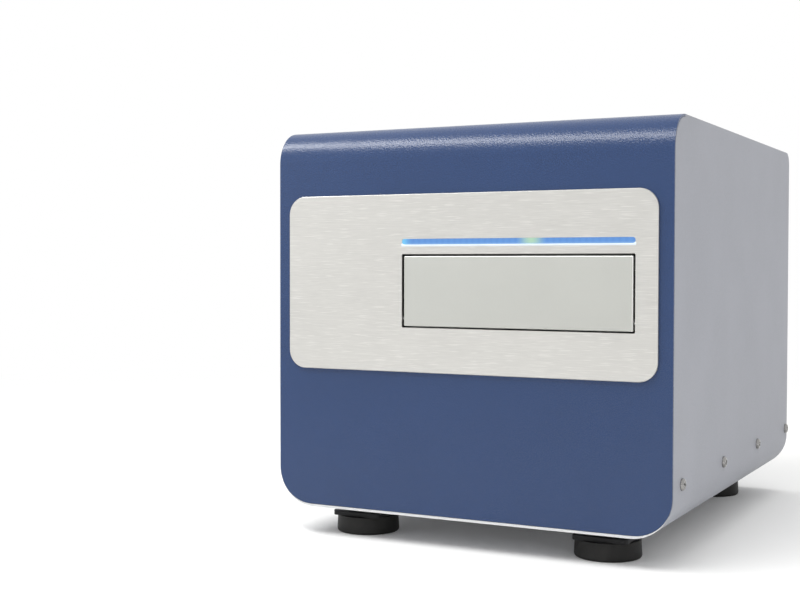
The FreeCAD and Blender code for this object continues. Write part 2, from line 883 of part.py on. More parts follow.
def make_rear_panel():
    """The flanged panel that closes the back, with the fan grille and the sockets' holes."""
    inset = case_sheet + panel_gap
    front = rear_panel_y - rear_sheet
    top = top_z - rear_bend
    skin = wrap_block(inset, front, rear_panel_y, top)
    rim = wrap_block(inset, front - rear_flange, front, top)
    rim = rim.cut(wrap_block(inset + rear_sheet, front - rear_flange - 1, front, top + 1))
    panel = fuse([skin, rim])
    y0, y1 = front - 1, rear_panel_y + 1
    cuts = fan_grille_holes(y0, y1)
    cuts += [rod(rear_screw_radius + screw_hole_gap, (x, y0, z), (x, y1, z)) for x, z in fan_screw_places()]
    inlet_z, usb_z = under_z + inlet_height, under_z + usb_height
    cuts.append(opening_cut(-inlet_side, inlet_z, inlet_body_width, inlet_body_height, y0, y1))
    cuts.append(opening_cut(usb_side, usb_z, usb_shell_width, usb_shell_height, y0, y1))
    for side in (-1, 1):
        x = usb_side + side * usb_screw_reach()
        cuts.append(rod(frame_screw_radius + screw_hole_gap, (x, y0, usb_z), (x, y1, usb_z)))
    cuts += [rod(rear_screw_radius + screw_hole_gap, (x, y0, z), (x, y1, z))
             for x, z in rear_screw_places()]
    y, z = side_screw_places()[-1], under_z + side_screw_height
    cuts.append(rod(side_screw_radius + screw_hole_gap, (-width, y, z), (width, y, z)))
    return panel.cut(cuts)


def opening_cut(x, z, wide, high, y0, y1):
    """A socket's panel hole, a little larger than the socket."""
    return box(x - wide / 2 - panel_gap, x + wide / 2 + panel_gap, y0, y1,
               z - high / 2 - panel_gap, z + high / 2 + panel_gap)


def fan_grille_holes(y0, y1):
    """A honeycomb of hexagonal holes over the fan."""
    holes = []
    reach = int(fan_bore_radius / grille_cell) + 1
    for row in range(-reach, reach + 1):
        for column in range(-reach, reach + 1):
            x = (column + 0.5 * (row % 2)) * grille_cell
            z = row * grille_cell * math.sin(math.pi / 3)
            if math.hypot(x, z) + grille_hole_radius < fan_bore_radius:
                holes.append(hexagon_rod(grille_hole_radius, (x - fan_centre_side, y0, z + fan_z),
                                         (x - fan_centre_side, y1, z + fan_z)))
    return holes


def make_side_screws(side):
    """The row of case screws on one side."""
    z = under_z + side_screw_height
    screw = pan_screw(side_screw_radius, side_screw_length, side_head_radius, side_head_height)
    return group([placed(screw, (side * width / 2, y, z), (side, 0, 0))
                  for y in side_screw_places()])


def make_rear_screws():
    """The screws through the cover's rear lip."""
    screw = pan_screw(rear_screw_radius, rear_screw_length, rear_head_radius, rear_head_height)
    return group([placed(screw, (x, rear_y, z), (0, 1, 0)) for x, z in rear_screw_places()])


def make_fan_screws():
    """The four screws that hold the fan to the rear panel."""
    screw = pan_screw(rear_screw_radius, rear_screw_length, rear_head_radius, rear_head_height - 0.4)
    return group([placed(screw, (x, rear_panel_y, z), (0, 1, 0)) for x, z in fan_screw_places()])


def make_feet():
    """The four rubber feet, each with a recess for its screw."""
    top = foot_rubber_height
    feet = []
    for x, y in foot_places():
        foot = Part.makeCone(foot_radius, foot_top_radius, top, Vector(x, y, 0))
        rim = [edge for edge in foot.Edges if edge.BoundBox.ZMax < 0.01]
        foot = foot.makeFillet(foot_edge, rim)
        foot = foot.cut([rod(foot_recess_radius, (x, y, -1), (x, y, foot_recess_depth)),
                         rod(foot_screw_radius + screw_hole_gap, (x, y, 0), (x, y, top + 1))])
        feet.append(foot)
    return group(feet)


def make_foot_plates():
    """The square steel plates over the feet, each with a round boss up to the case."""
    half = foot_plate_size / 2
    plate_top = foot_rubber_height + foot_plate_thickness
    plates = []
    for x, y in foot_places():
        plate = rounded_block(x - half, x + half, y - half, y + half,
                              foot_rubber_height, plate_top, foot_plate_corner, "z")
        plate = fuse([plate, rod(foot_boss_radius, (x, y, foot_rubber_height), (x, y, under_z))])
        plates.append(plate.cut(rod(foot_screw_radius + screw_hole_gap, (x, y, 0), (x, y, under_z + 1))))
    return group(plates)


def make_foot_screws():
    """The screws up through the feet into the base, with their nuts."""
    screws = []
    for x, y in foot_places():
        seat = foot_recess_depth
        head = rod(foot_head_radius, (x, y, seat - foot_head_height), (x, y, seat))
        socket = rod(foot_head_radius / 2, (x, y, 0), (x, y, seat - foot_head_height / 2))
        shank = rod(foot_screw_radius, (x, y, seat), (x, y, floor_z + foot_nut_height + 2))
        nut = hexagon_rod(foot_head_radius, (x, y, floor_z), (x, y, floor_z + foot_nut_height))
        screws.append(fuse([head.cut(socket), shank, nut]))
    return group(screws)


def make_base_plate():
    """The inner base, a trough nested in the case, which carries the mechanism."""
    y0, y1 = front_y + base_front, rear_y - base_rear
    gap = case_sheet + base_gap
    high = under_z + base_flange_height
    base = wrap_block(gap, y0, y1, high)
    base = base.cut(wrap_block(gap + base_sheet, y0 - 1, y1 + 1, high + 1))
    z = under_z + side_screw_height
    cuts = [rod(side_screw_radius + screw_hole_gap, (-width, y, z), (width, y, z))
            for y in side_screw_places()]
    cuts += [rod(foot_screw_radius + screw_hole_gap, (x, y, 0), (x, y, floor_z + 1))
             for x, y in foot_places()]
    return base.cut(cuts + vent_slots(under_z, floor_z + 1))


def make_upright(side):
    """One of the two side frames that carry the tray's rails."""
    y0, y1 = front_y + upright_front, rear_y - upright_rear
    inner = upright_half_gap
    outer = inner + upright_sheet
    top = under_z + upright_top
    web = box(inner, outer, y0, y1, floor_z, top)
    flange = box(inner - upright_flange, outer, y0, y1 - upright_rear, floor_z, floor_z + upright_sheet)
    frame = round_edges(fuse([web, flange]), "x", upright_window_corner, lambda point: point.z > top - 1)
    low = floor_z + upright_window_margin + upright_sheet
    high = pulley_z - pulley_radius - upright_window_margin
    beam_low = beam_y - upright_window_margin
    beam_high = beam_y + beam_thickness + upright_window_margin / 2
    cuts = [rounded_block(inner - 1, outer + 1, y0 + upright_window_margin, beam_low, low, high,
                          upright_window_corner, "x"),
            rounded_block(inner - 1, outer + 1, beam_high, y1 - upright_window_margin, low, high,
                          upright_window_corner, "x")]
    if side < 0:
        holes = [(idler_axle_radius, idler_y, pulley_z), (motor_pilot_radius, drive_y, pulley_z),
                 (motor_pilot_radius, cross_screw_y, leadscrew_height)]
    else:
        holes = [(leadscrew_radius + running_gap, cross_screw_y, leadscrew_height)]
    cuts += [rod(radius, (inner - 1, y, z), (outer + 1, y, z)) for radius, y, z in holes]
    frame = frame.cut(cuts)
    frame = moved(frame if side > 0 else mirrored_x(frame), port_offset)
    reach = foot_head_radius + foot_nut_gap
    return frame.cut([rod(reach, (x, y, floor_z - 1), (x, y, floor_z + foot_nut_height + 3))
                      for x, y in foot_places()])


def guide_rail(length):
    """A grooved guide rail along +X, mounted on the plane y = 0 and standing out to -Y."""
    rail = box(0, length, -rail_thickness, 0, -rail_height / 2, rail_height / 2)
    groove_y = -rail_thickness / 2
    grooves = [rod(rail_groove, (-1, groove_y, z), (length + 1, groove_y, z))
               for z in (-rail_height / 2, rail_height / 2)]
    return rail.cut(grooves)


def guide_block(length):
    """A bearing block along +X that clasps the rail."""
    half = rail_height / 2 + block_cover
    block = box(0, length, -block_reach, -1.0, -half, half)
    gap = rail_height / 2 + slide_gap
    channel = box(-1, length + 1, -rail_thickness - slide_gap, 1, -gap, gap)
    return round_edges(block.cut(channel), "x", 1.5, lambda point: abs(point.z) > half - 1)


def on_left_web(shape, y):
    """Turn a rail or block to run along +Y on the left upright's inner face."""
    return moved(turned(shape, (0, 0, 1), 90), web_left, y, rail_z)


def on_both_webs(shape, y):
    """The same rail or block on both uprights."""
    left = on_left_web(shape, y)
    return group([left, mirrored_x(left, port_offset)])


def make_tray_rails():
    """The two rails on the uprights that guide the tray's carriage."""
    length = depth - upright_front - upright_rear - 2 * rail_end_gap
    return on_both_webs(guide_rail(length), front_y + upright_front + rail_end_gap)


def make_tray_blocks():
    """The bearing blocks that hang the carriage on the rails."""
    return on_both_webs(guide_block(carriage_length), carriage_y)


def make_tray_carriage():
    """The cross plate between the bearing blocks."""
    half = upright_half_gap - block_reach
    z = tray_z + arm_thickness
    plate = rounded_block(port_offset - half, port_offset + half, carriage_y, carriage_y + carriage_length,
                          z, z + carriage_thickness, carriage_thickness / 6, "y")
    slots = []
    for side in (-1, 1):
        x = port_offset + side * half / 2
        slots.append(rounded_block(x - carriage_slot_half, x + carriage_slot_half,
                                   carriage_y + carriage_slot_edge,
                                   carriage_y + carriage_length - carriage_slot_edge,
                                   z - 1, z + carriage_thickness + 1, carriage_slot_edge * 0.4, "z"))
    return plate.cut(slots)


def make_tray_arm():
    """The flat arm that carries the tray ahead of its carriage."""
    y0 = tray_y + tray_length
    arm = box(port_offset - arm_width / 2, port_offset + arm_width / 2, y0, carriage_y + carriage_length,
              tray_z, tray_z + arm_thickness)
    window = rounded_block(port_offset - arm_width / 4, port_offset + arm_width / 4,
                           y0 + arm_window_edge, carriage_y - arm_window_edge / 2,
                           tray_z - 1, tray_z + arm_thickness + 1, arm_window_edge / 2, "z")
    return arm.cut(window)


def make_plate_tray():
    """The tray with the nest for a standard plate, open below for the optics."""
    half_x, half_y = nest_length / 2 + nest_gap, nest_width / 2 + nest_gap
    height = nest_floor + nest_depth
    body = rounded_block(port_offset - tray_half, port_offset + tray_half, tray_y, tray_y + tray_length,
                         tray_z, tray_z + height, tray_corner, "z")
    nest = rounded_block(port_offset - half_x, port_offset + half_x, axis_y - half_y, axis_y + half_y,
                         tray_z + nest_floor, tray_z + height + 1, nest_corner, "z")
    window = rounded_block(port_offset - half_x + nest_ledge, port_offset + half_x - nest_ledge,
                           axis_y - half_y + nest_ledge, axis_y + half_y - nest_ledge,
                           tray_z - 1, tray_z + nest_floor + 1, window_corner, "z")
    notch = rounded_block(port_offset - tray_half - 1, port_offset + tray_half + 1,
                          axis_y - finger_notch / 2, axis_y + finger_notch / 2,
                          tray_z + nest_floor, tray_z + height + 1 + tray_corner, window_corner, "x")
    tray = body.cut([nest, window, notch])
    rim = [edge for edge in tray.Edges
           if abs(edge.BoundBox.YMax - tray_y) < 0.01 and abs(edge.BoundBox.ZMax - tray_z - height) < 0.01]
    return tray.makeChamfer(nest_corner, rim)


def pulley(width_x, bore):
    """A toothed-belt pulley with two flanges, along +X from x = 0."""
    body = rod(pulley_radius, (0, 0, 0), (width_x, 0, 0))
    rims = [rod(pulley_radius + belt_thickness, (x, 0, 0), (x + pulley_flange, 0, 0))
            for x in (-pulley_flange, width_x)]
    wheel = fuse([body] + rims)
    return wheel.cut(rod(bore, (-5, 0, 0), (width_x + 5, 0, 0))) if bore else wheel


def make_drive_pulley():
    """The pulley on the tray motor's shaft, with the shaft."""
    wheel = moved(pulley(pulley_width, 0), pulley_x, drive_y, pulley_z)
    shaft = rod(shaft_radius, (web_left - upright_sheet - shaft_bore_depth, drive_y, pulley_z),
                (pulley_x + pulley_width, drive_y, pulley_z))
    return fuse([wheel, shaft])


def make_idler_pulley():
    """The pulley that turns the belt back at the front."""
    return moved(pulley(pulley_width, idler_axle_radius + running_gap), pulley_x, idler_y, pulley_z)


def make_idler_axle():
    """The fixed axle of the front pulley, riveted into the upright."""
    start = pulley_x + pulley_width + pulley_flange + slide_gap
    end = start + axle_head_thickness
    pin = rod(idler_axle_radius, (web_left - upright_sheet, idler_y, pulley_z), (end, idler_y, pulley_z))
    head = rod(2 * idler_axle_radius, (start, idler_y, pulley_z), (end, idler_y, pulley_z))
    return fuse([pin, head])


def make_tray_belt():
    """The toothed belt round the two pulleys."""
    x = pulley_x + (pulley_width - belt_width) / 2

    def loop(radius):
        return fuse([rod(radius, (x, idler_y, pulley_z), (x + belt_width, idler_y, pulley_z)),
                     rod(radius, (x, drive_y, pulley_z), (x + belt_width, drive_y, pulley_z)),
                     box(x, x + belt_width, idler_y, drive_y, pulley_z - radius, pulley_z + radius)])

    inner = pulley_radius + belt_gap
    return loop(inner + belt_thickness).cut(loop(inner))


def make_belt_clamp():
    """The bent clamp that ties the carriage to the belt's upper run."""
    y = carriage_y + clamp_on_carriage
    x = web_left + block_reach
    top = tray_z + arm_thickness
    seat = pulley_z + pulley_radius + belt_gap + belt_thickness + belt_gap
    leg = box(x, x + clamp_plate, y, y + clamp_length, seat, top)
    belt_x = pulley_x + (pulley_width - belt_width) / 2
    jaw = box(belt_x, x + clamp_plate, y, y + clamp_length, seat, seat + clamp_plate)
    pad = box(x, x + 4 * clamp_plate, y, y + clamp_length, top - clamp_plate, top)
    return fuse([leg, jaw, pad])


def square_motor(size, length, bore, pilot):
    """A square stepper motor, its mounting face on the plane x = 0 and its body towards -X."""
    half = size / 2
    corner = motor_corner * size / motor_size
    body = rounded_block(-length, 0, -half, half, -half, half, corner, "x")
    start, end = -length * (1 - motor_cap_share), -length * motor_cap_share
    narrow = half - motor_waist
    band = box(start, end, -half - 1, half + 1, -half - 1, half + 1)
    waist = rounded_block(start, end, -narrow, narrow, -narrow, narrow, corner, "x")
    body = body.cut(band.cut(waist))
    nose = rod(pilot, (0, 0, 0), (motor_pilot_height, 0, 0))
    motor = fuse([body, nose])
    return motor.cut(rod(bore + running_gap, (motor_pilot_height + 1, 0, 0), (-shaft_bore_depth - 1, 0, 0)))


def make_tray_motor():
    """The motor behind the drive pulley, on the left upright."""
    motor = square_motor(motor_size, motor_length, shaft_radius, motor_pilot_radius - motor_pilot_gap)
    return moved(motor, web_left - upright_sheet, drive_y, pulley_z)


def make_cross_beam():
    """The beam across the uprights that carries the optical head's rails."""
    beam = box(web_left, web_right, beam_y, beam_y + beam_thickness, beam_bottom, beam_top)
    middle = (cross_rail_lower + cross_rail_upper) / 2
    reach = (cross_rail_upper - cross_rail_lower) / 2 - rail_height - beam_window_edge
    pitch = (web_right - web_left) / beam_window_count
    cuts = []
    for index in range(beam_window_count):
        x = web_left + pitch * (index + 0.5)
        cuts.append(rounded_block(x - beam_window_half, x + beam_window_half,
                                  beam_y - 1, beam_y + beam_thickness + 1,
                                  middle - reach, middle + reach, beam_window_corner, "y"))
    return beam.cut(cuts)


def make_cross_rails():
    """The two rails on the beam."""
    rail = guide_rail(2 * upright_half_gap - 2 * rail_end_gap)
    return group([moved(rail, web_left + rail_end_gap, beam_y, z)
                  for z in (cross_rail_lower, cross_rail_upper)])


def make_optics_blocks():
    """The bearing blocks that carry the optical head along the beam."""
    length = 2 * optics_bracket_half
    return group([moved(guide_block(length), port_offset - optics_bracket_half, beam_y, z)
                  for z in (cross_rail_lower, cross_rail_upper)])


def make_optics_bracket():
    """The optical head's back plate with its two shelves."""
    half = optics_bracket_half
    x0, x1 = port_offset - half, port_offset + half
    y0, y1 = bracket_front, bracket_front + optics_bracket_thickness
    top = objective_bottom + focus_ring_height
    plate = box(x0, x1, y0, y1, cross_rail_lower - rail_height / 2 - block_cover, top)
    low = rounded_block(x0 + 2, x1 - 2, axis_y - wheel_offset - 3 * wheel_motor_radius, y1,
                        shelf_low_z, shelf_low_z + shelf_thickness, optics_corner, "z")
    high = rounded_block(x0 + 2, x1 - 2, axis_y - cube_size / 2, y1, shelf_high_z,
                         shelf_high_z + shelf_thickness, optics_corner, "z")
    bore_low = rod(tube_radius - tube_wall, (port_offset, axis_y, shelf_low_z - 1),
                   (port_offset, axis_y, shelf_high_z + shelf_thickness + 1))
    wheel_hole = rod(shaft_radius, (port_offset, axis_y - wheel_offset, shelf_low_z - 1),
                     (port_offset, axis_y - wheel_offset, shelf_low_z + shelf_thickness + 1))
    nut_left, nut_right = port_offset - leadscrew_nut_half, port_offset + leadscrew_nut_half
    nut = rod(leadscrew_nut_radius, (nut_left, cross_screw_y, leadscrew_height),
              (nut_right, cross_screw_y, leadscrew_height))
    boss = box(nut_left, nut_right, y1 - 1, cross_screw_y, leadscrew_height - leadscrew_nut_radius,
               leadscrew_height + leadscrew_nut_radius)
    nut = nut.common(box(x0, x1, y1 - 1, beam_y - 1, 0, top))
    bore = rod(leadscrew_radius + running_gap, (x0, cross_screw_y, leadscrew_height),
               (x1, cross_screw_y, leadscrew_height))
    return fuse([plate, low, high, boss, nut]).cut([bore_low, wheel_hole, bore])


def make_cross_screw():
    """The leadscrew that drives the optical head, with its turned ends."""
    y, z = cross_screw_y, leadscrew_height
    start = web_left + leadscrew_end
    thread = rod(leadscrew_radius, (start, y, z), (web_right + upright_sheet + leadscrew_end, y, z))
    end = rod(shaft_radius, (web_left - upright_sheet - shaft_bore_depth, y, z), (start, y, z))
    return fuse([thread, end])


def make_cross_motor():
    """The motor of the cross leadscrew."""
    motor = square_motor(motor_size, motor_length, shaft_radius, motor_pilot_radius - motor_pilot_gap)
    return moved(motor, web_left - upright_sheet, cross_screw_y, leadscrew_height)


def make_camera():
    """The camera under the lower shelf."""
    half = camera_size / 2
    x0 = port_offset - half
    neck_z = shelf_low_z - camera_neck
    body = rounded_block(x0, port_offset + half, axis_y - half, axis_y + half,
                         camera_bottom, neck_z, optics_corner, "z")
    mount = rod(tube_radius + 2, (port_offset, axis_y, neck_z), (port_offset, axis_y, shelf_low_z))
    grooves = []
    for index in range(camera_fin_count):
        z = camera_bottom + camera_fin_pitch * (index + 1)
        grooves.append(box(x0 - 1, x0 + camera_fin_depth, axis_y - half - 1, axis_y + half + 1,
                           z, z + camera_fin_gap))
    return fuse([body, mount]).cut(grooves)


def make_tube_lens():
    """The tube lens on the lower shelf."""
    z = shelf_low_z + shelf_thickness
    tube = rod(tube_radius, (port_offset, axis_y, z), (port_offset, axis_y, z + tube_height))
    ring = rod(tube_radius + ring_step, (port_offset, axis_y, z + tube_ring_low),
               (port_offset, axis_y, z + tube_ring_high))
    bore = rod(tube_radius - tube_wall, (port_offset, axis_y, z - 1),
               (port_offset, axis_y, z + tube_height + 1))
    return fuse([tube, ring]).cut(bore)


def wheel_windows(radius):
    """The windows round the filter wheel, as round bars."""
    centre = (port_offset, axis_y - wheel_offset, 0)
    bar = rod(radius, (port_offset, axis_y, wheel_z - 1),
              (port_offset, axis_y, wheel_z + wheel_thickness + 1))
    return [turned(bar, (0, 0, 1), index * 360.0 / wheel_window_count, centre)
            for index in range(wheel_window_count)]


def make_filter_wheel():
    """The filter wheel with its spindle."""
    y = axis_y - wheel_offset
    disc = rod(wheel_radius, (port_offset, y, wheel_z), (port_offset, y, wheel_z + wheel_thickness))
    spindle = rod(wheel_spindle_radius, (port_offset, y, wheel_z - shaft_bore_depth),
                  (port_offset, y, wheel_z + 1))
    return fuse([disc.cut(wheel_windows(wheel_window_radius)), spindle])


def make_filters():
    """The glass filters set in the wheel."""
    slab = box(-width, width, front_y, rear_y,
               wheel_z + filter_inset, wheel_z + wheel_thickness - filter_inset)
    return group([bar.common(slab) for bar in wheel_windows(wheel_window_radius)])


def make_wheel_motor():
    """The small motor that turns the filter wheel."""
    y = axis_y - wheel_offset
    z0, z1 = shelf_low_z + shelf_thickness, wheel_z - wheel_gap
    body = rod(wheel_motor_radius, (port_offset, y, z0), (port_offset, y, z1))
    return body.cut(rod(wheel_spindle_radius + running_gap, (port_offset, y, z1 - shaft_bore_depth),
                        (port_offset, y, z1 + 1)))


def make_filter_cube():
    """The housing of the dichroic mirror over the upper shelf."""
    half = cube_size / 2
    cube = rounded_block(port_offset - half, port_offset + half, axis_y - half, axis_y + half,
                         cube_z, cube_z + cube_height, optics_corner, "z")
    middle = cube_z + cube_height / 2
    bores = [rod(cube_bore_radius, (port_offset, axis_y, cube_z - 1),
                 (port_offset, axis_y, cube_z + cube_height + 1)),
             rod(cube_bore_radius, (port_offset, axis_y, middle), (port_offset, axis_y - cube_size, middle))]
    return cube.cut(bores)


def make_light_engine():
    """The excitation lamp and its finned heat sink on the cube's front."""
    y1 = axis_y - cube_size / 2
    y0 = y1 - engine_depth
    half = engine_width / 2
    low = cube_z + (cube_height - engine_width) / 2
    middle = low + half
    core_y = y1 - engine_depth / 2
    barrel = rod(cube_bore_radius + engine_wall, (port_offset, y1, middle), (port_offset, core_y, middle))
    core = box(port_offset - half, port_offset + half, core_y - engine_core, core_y, low, low + engine_width)
    step = (engine_width - engine_fin) / (engine_fin_count - 1)
    fins = []
    for index in range(engine_fin_count):
        x = port_offset - half + index * step
        fins.append(box(x, x + engine_fin, y0, core_y - engine_core, low, low + engine_width))
    return fuse([barrel, core] + fins)


def make_objective():
    """The objective lens, pointing up at the tray."""
    x, y = port_offset, axis_y
    shoulder = objective_bottom + objective_length * objective_shoulder
    body = rod(objective_radius, (x, y, objective_bottom), (x, y, shoulder))
    nose = Part.makeCone(objective_radius, objective_tip_radius, objective_top - shoulder,
                         Vector(x, y, shoulder))
    ring_low = shoulder - knurl_below_shoulder
    ring = rod(objective_radius + ring_step, (x, y, ring_low), (x, y, ring_low + knurl_height))
    lens = Part.makeSphere(objective_radius, Vector(x, y, objective_top + objective_radius - objective_dish))
    return fuse([body, nose, ring]).cut(lens)


def make_focus_carrier():
    """The ring and arm that carry the objective up and down on the bracket."""
    x, z = port_offset, objective_bottom
    outer = rod(objective_radius + focus_ring_wall, (x, axis_y, z), (x, axis_y, z + focus_ring_height))
    top = z + focus_ring_height
    arm = box(x - focus_arm_half, x + focus_arm_half, axis_y, bracket_front - slide_gap, z, top)
    lug = box(x, x + focus_screw_offset + 3 * focus_screw_radius,
              focus_y - focus_lug_half, focus_y + focus_lug_half, z, top)
    cuts = [rod(objective_radius, (x, axis_y, z - 1), (x, axis_y, top + 1)),
            rod(focus_screw_radius + running_gap, (x + focus_screw_offset, focus_y, z - 1),
                (x + focus_screw_offset, focus_y, top + 1))]
    return fuse([outer, arm, lug]).cut(cuts)


def make_focus_motor():
    """The focus motor on its bracket, beside the cube."""
    z = objective_bottom - 2 * focus_travel - motor_pilot_height
    motor = square_motor(focus_motor_size, focus_motor_height, focus_screw_radius, focus_screw_radius + 2)
    return moved(turned(motor, (0, 1, 0), -90), port_offset + focus_screw_offset, focus_y, z)


def make_focus_screw():
    """The focus leadscrew."""
    x, y = port_offset + focus_screw_offset, focus_y
    low = objective_bottom - 2 * focus_travel - shaft_bore_depth / 2
    high = objective_bottom + focus_ring_height + 3 * focus_travel
    return rod(focus_screw_radius, (x, y, low), (x, y, high))


def make_light_bridge():
    """The bridge over the tray that holds the transmitted-light panel."""
    outer = upright_half_gap + upright_sheet
    x0, x1 = port_offset - outer, port_offset + outer
    y0, y1 = axis_y - bridge_half_depth, axis_y + bridge_half_depth
    z0 = bridge_top - bridge_height
    block = box(x0 - bridge_sheet, x1 + bridge_sheet, y0, y1, z0, bridge_top)
    block = round_edges(block, "y", 2 * bridge_sheet, lambda point: point.z > bridge_top - 1)
    return block.cut(box(x0, x1, y0 - 1, y1 + 1, z0 - 1, bridge_top - bridge_sheet))


def make_light_panel():
    """The transmitted-light panel under the bridge."""
    z = bridge_top - bridge_sheet
    return rounded_block(port_offset - panel_half_width, port_offset + panel_half_width,
                         axis_y - panel_half_depth, axis_y + panel_half_depth,
                         z - panel_thickness, z, optics_corner, "z")


def make_light_diffuser():
    """The opal sheet of the transmitted-light panel."""
    z = bridge_top - bridge_sheet - panel_thickness
    half_x, half_y = panel_half_width - panel_rim, panel_half_depth - panel_rim
    return box(port_offset - half_x, port_offset + half_x, axis_y - half_y, axis_y + half_y,
               z - panel_glass, z)


def make_fan_frame():
    """The fan's square frame, with its round duct, struts and motor cup."""
    x, y1 = -fan_centre_side, rear_panel_y - rear_sheet
    y0 = y1 - fan_thickness
    half = fan_size / 2
    frame = rounded_block(x - half, x + half, y0, y1, fan_z - half, fan_z + half, fan_corner, "y")
    frame = frame.cut(rod(fan_bore_radius, (x, y0 - 1, fan_z), (x, y1 + 1, fan_z)))
    cup = rod(fan_hub_radius, (x, y0, fan_z), (x, y0 + fan_back, fan_z))
    strut = box(x, x + fan_bore_radius + 1, y0, y0 + fan_back, fan_z - fan_strut_width / 2,
                fan_z + fan_strut_width / 2)
    struts = [turned(strut, (0, 1, 0), 45 + 90 * index, (x, 0, fan_z)) for index in range(4)]
    body = fuse([frame, cup] + struts)
    holes = [rod(rear_screw_radius + running_gap, (hole_x, y0 - 1, hole_z), (hole_x, y1 + 1, hole_z))
             for hole_x, hole_z in fan_screw_places()]
    bore = rod(fan_shaft_radius + running_gap, (x, y0 - 1, fan_z), (x, y0 + fan_back + 1, fan_z))
    return body.cut(holes + [bore])


def make_fan_rotor():
    """The fan's hub and twisted blades."""
    x, y1 = -fan_centre_side, rear_panel_y - rear_sheet
    y0 = y1 - fan_thickness + fan_back
    start, end = y0 + fan_front_gap, y1 - 2 * fan_front_gap
    hub = rod(fan_hub_radius, (x, start, fan_z), (x, end, fan_z))
    shaft = rod(fan_shaft_radius, (x, y0 - fan_back / 2, fan_z), (x, start + 1, fan_z))
    root = fan_hub_radius - fan_blade_root
    tip = fan_bore_radius - fan_blade_gap
    half = fan_blade_thickness / 2
    sections = []
    for index in range(fan_blade_sections):
        share = index / (fan_blade_sections - 1)
        y = start + fan_blade_edge + share * (end - start - 2 * fan_blade_edge)
        corners = [Vector(x + reach, y, fan_z + side)
                   for reach, side in ((root, -half), (tip, -half), (tip, half), (root, half))]
        wire = Part.makePolygon(corners + [corners[0]])
        wire.rotate(Vector(x, 0, fan_z), Vector(0, 1, 0), share * fan_blade_turn)
        sections.append(wire)
    blade = Part.makeLoft(sections, True, True)
    blade = blade.common(rod(tip, (x, y0, fan_z), (x, y1, fan_z)))
    blades = [turned(blade, (0, 1, 0), index * 360.0 / fan_blade_count, (x, 0, fan_z))
              for index in range(fan_blade_count)]
    return fuse([hub, shaft] + blades)


def inlet_centres():
    """The heights of the socket and of the switch in the inlet module."""
    z = under_z + inlet_height
    socket = z - inlet_body_height / 2 + switch_wall + inlet_cavity_height / 2 + inlet_margin
    switch = z + inlet_body_height / 2 - switch_wall - switch_height / 2 - inlet_margin
    return socket, switch


def make_power_inlet():
    """The mains inlet module: flange, socket with its three pins, and the switch's well."""
    x, z = -inlet_side, under_z + inlet_height
    face = rear_panel_y + inlet_flange
    flange = rounded_block(x - inlet_flange_width / 2, x + inlet_flange_width / 2, rear_panel_y, face,
                           z - inlet_flange_height / 2, z + inlet_flange_height / 2, inlet_corner, "y")
    body = box(x - inlet_body_width / 2, x + inlet_body_width / 2,
               rear_panel_y - inlet_body_depth, rear_panel_y,
               z - inlet_body_height / 2, z + inlet_body_height / 2)
    socket_z, switch_z = inlet_centres()
    back = face - inlet_cavity_depth
    cavity = box(x - inlet_cavity_width / 2, x + inlet_cavity_width / 2, back, face + 1,
                 socket_z - inlet_cavity_height / 2, socket_z + inlet_cavity_height / 2)
    upper = [edge for edge in cavity.Edges if upper_length_edge(edge, socket_z)]
    cavity = cavity.makeChamfer(inlet_chamfer, upper)
    well = box(x - switch_width / 2, x + switch_width / 2, face - switch_depth, face + 1,
               switch_z - switch_height / 2, switch_z + switch_height / 2)
    module = fuse([flange, body]).cut([cavity, well])
    pins = []
    for side, rise in ((-inlet_pin_side, -inlet_pin_drop), (inlet_pin_side, -inlet_pin_drop),
                       (0.0, inlet_pin_rise)):
        pins.append(box(x + side - inlet_pin_width / 2, x + side + inlet_pin_width / 2,
                        back - 1, face - inlet_pin_recess,
                        socket_z + rise - inlet_pin_height / 2, socket_z + rise + inlet_pin_height / 2))
    half = switch_width / 2
    axle = rod(rocker_pin_radius, (x - half - 1, rocker_y(), switch_z), (x + half + 1, rocker_y(), switch_z))
    middle = half - rocker_pin_reach
    ends = axle.cut(box(x - middle, x + middle, 0, rear_y + 1, 0, top_z))
    return fuse([module] + pins + ends.Solids)


def upper_length_edge(edge, middle_z):
    """Whether an edge runs along the depth at the top of the socket's cavity."""
    step = edge.Vertexes[1].Point - edge.Vertexes[0].Point
    return abs(step.y) > 0.999 * step.Length and edge.Vertexes[0].Point.z > middle_z


def rocker_y():
    """The depth of the rocker's pivot."""
    return rear_panel_y + inlet_flange - switch_depth / 2


def make_power_rocker():
    """The rocker of the power switch, resting with its lower half pressed in."""
    x = -inlet_side
    switch_z = inlet_centres()[1]
    half_x = switch_width / 2 - rocker_gap
    half_z = switch_height / 2 - 2 * rocker_gap
    rise = switch_depth / 2 + rocker_rise
    dip = half_z * math.tan(math.radians(rocker_tilt))
    root = half_z * rocker_root_share
    outline = [(-half_z, rise - dip * rocker_dish), (0, rise - dip), (half_z, rise - dip * rocker_dish),
               (root, -rocker_root), (-root, -rocker_root)]
    points = [Vector(x - half_x, rocker_y() + out - rocker_seat, switch_z + up) for up, out in outline]
    rocker = Part.Face(Part.makePolygon(points + [points[0]])).extrude(Vector(2 * half_x, 0, 0))
    rocker = turned(rocker, (1, 0, 0), rocker_tilt, (x, rocker_y(), switch_z))
    bores = [rod(rocker_pin_radius + running_gap, (x + side * half_x, rocker_y(), switch_z),
                 (x + side * (half_x - rocker_bore_depth), rocker_y(), switch_z)) for side in (-1, 1)]
    return rocker.cut(bores)


def usb_screw_reach():
    """How far the data socket's screws stand from its middle."""
    return usb_flange_width / 2 - usb_screw_inset


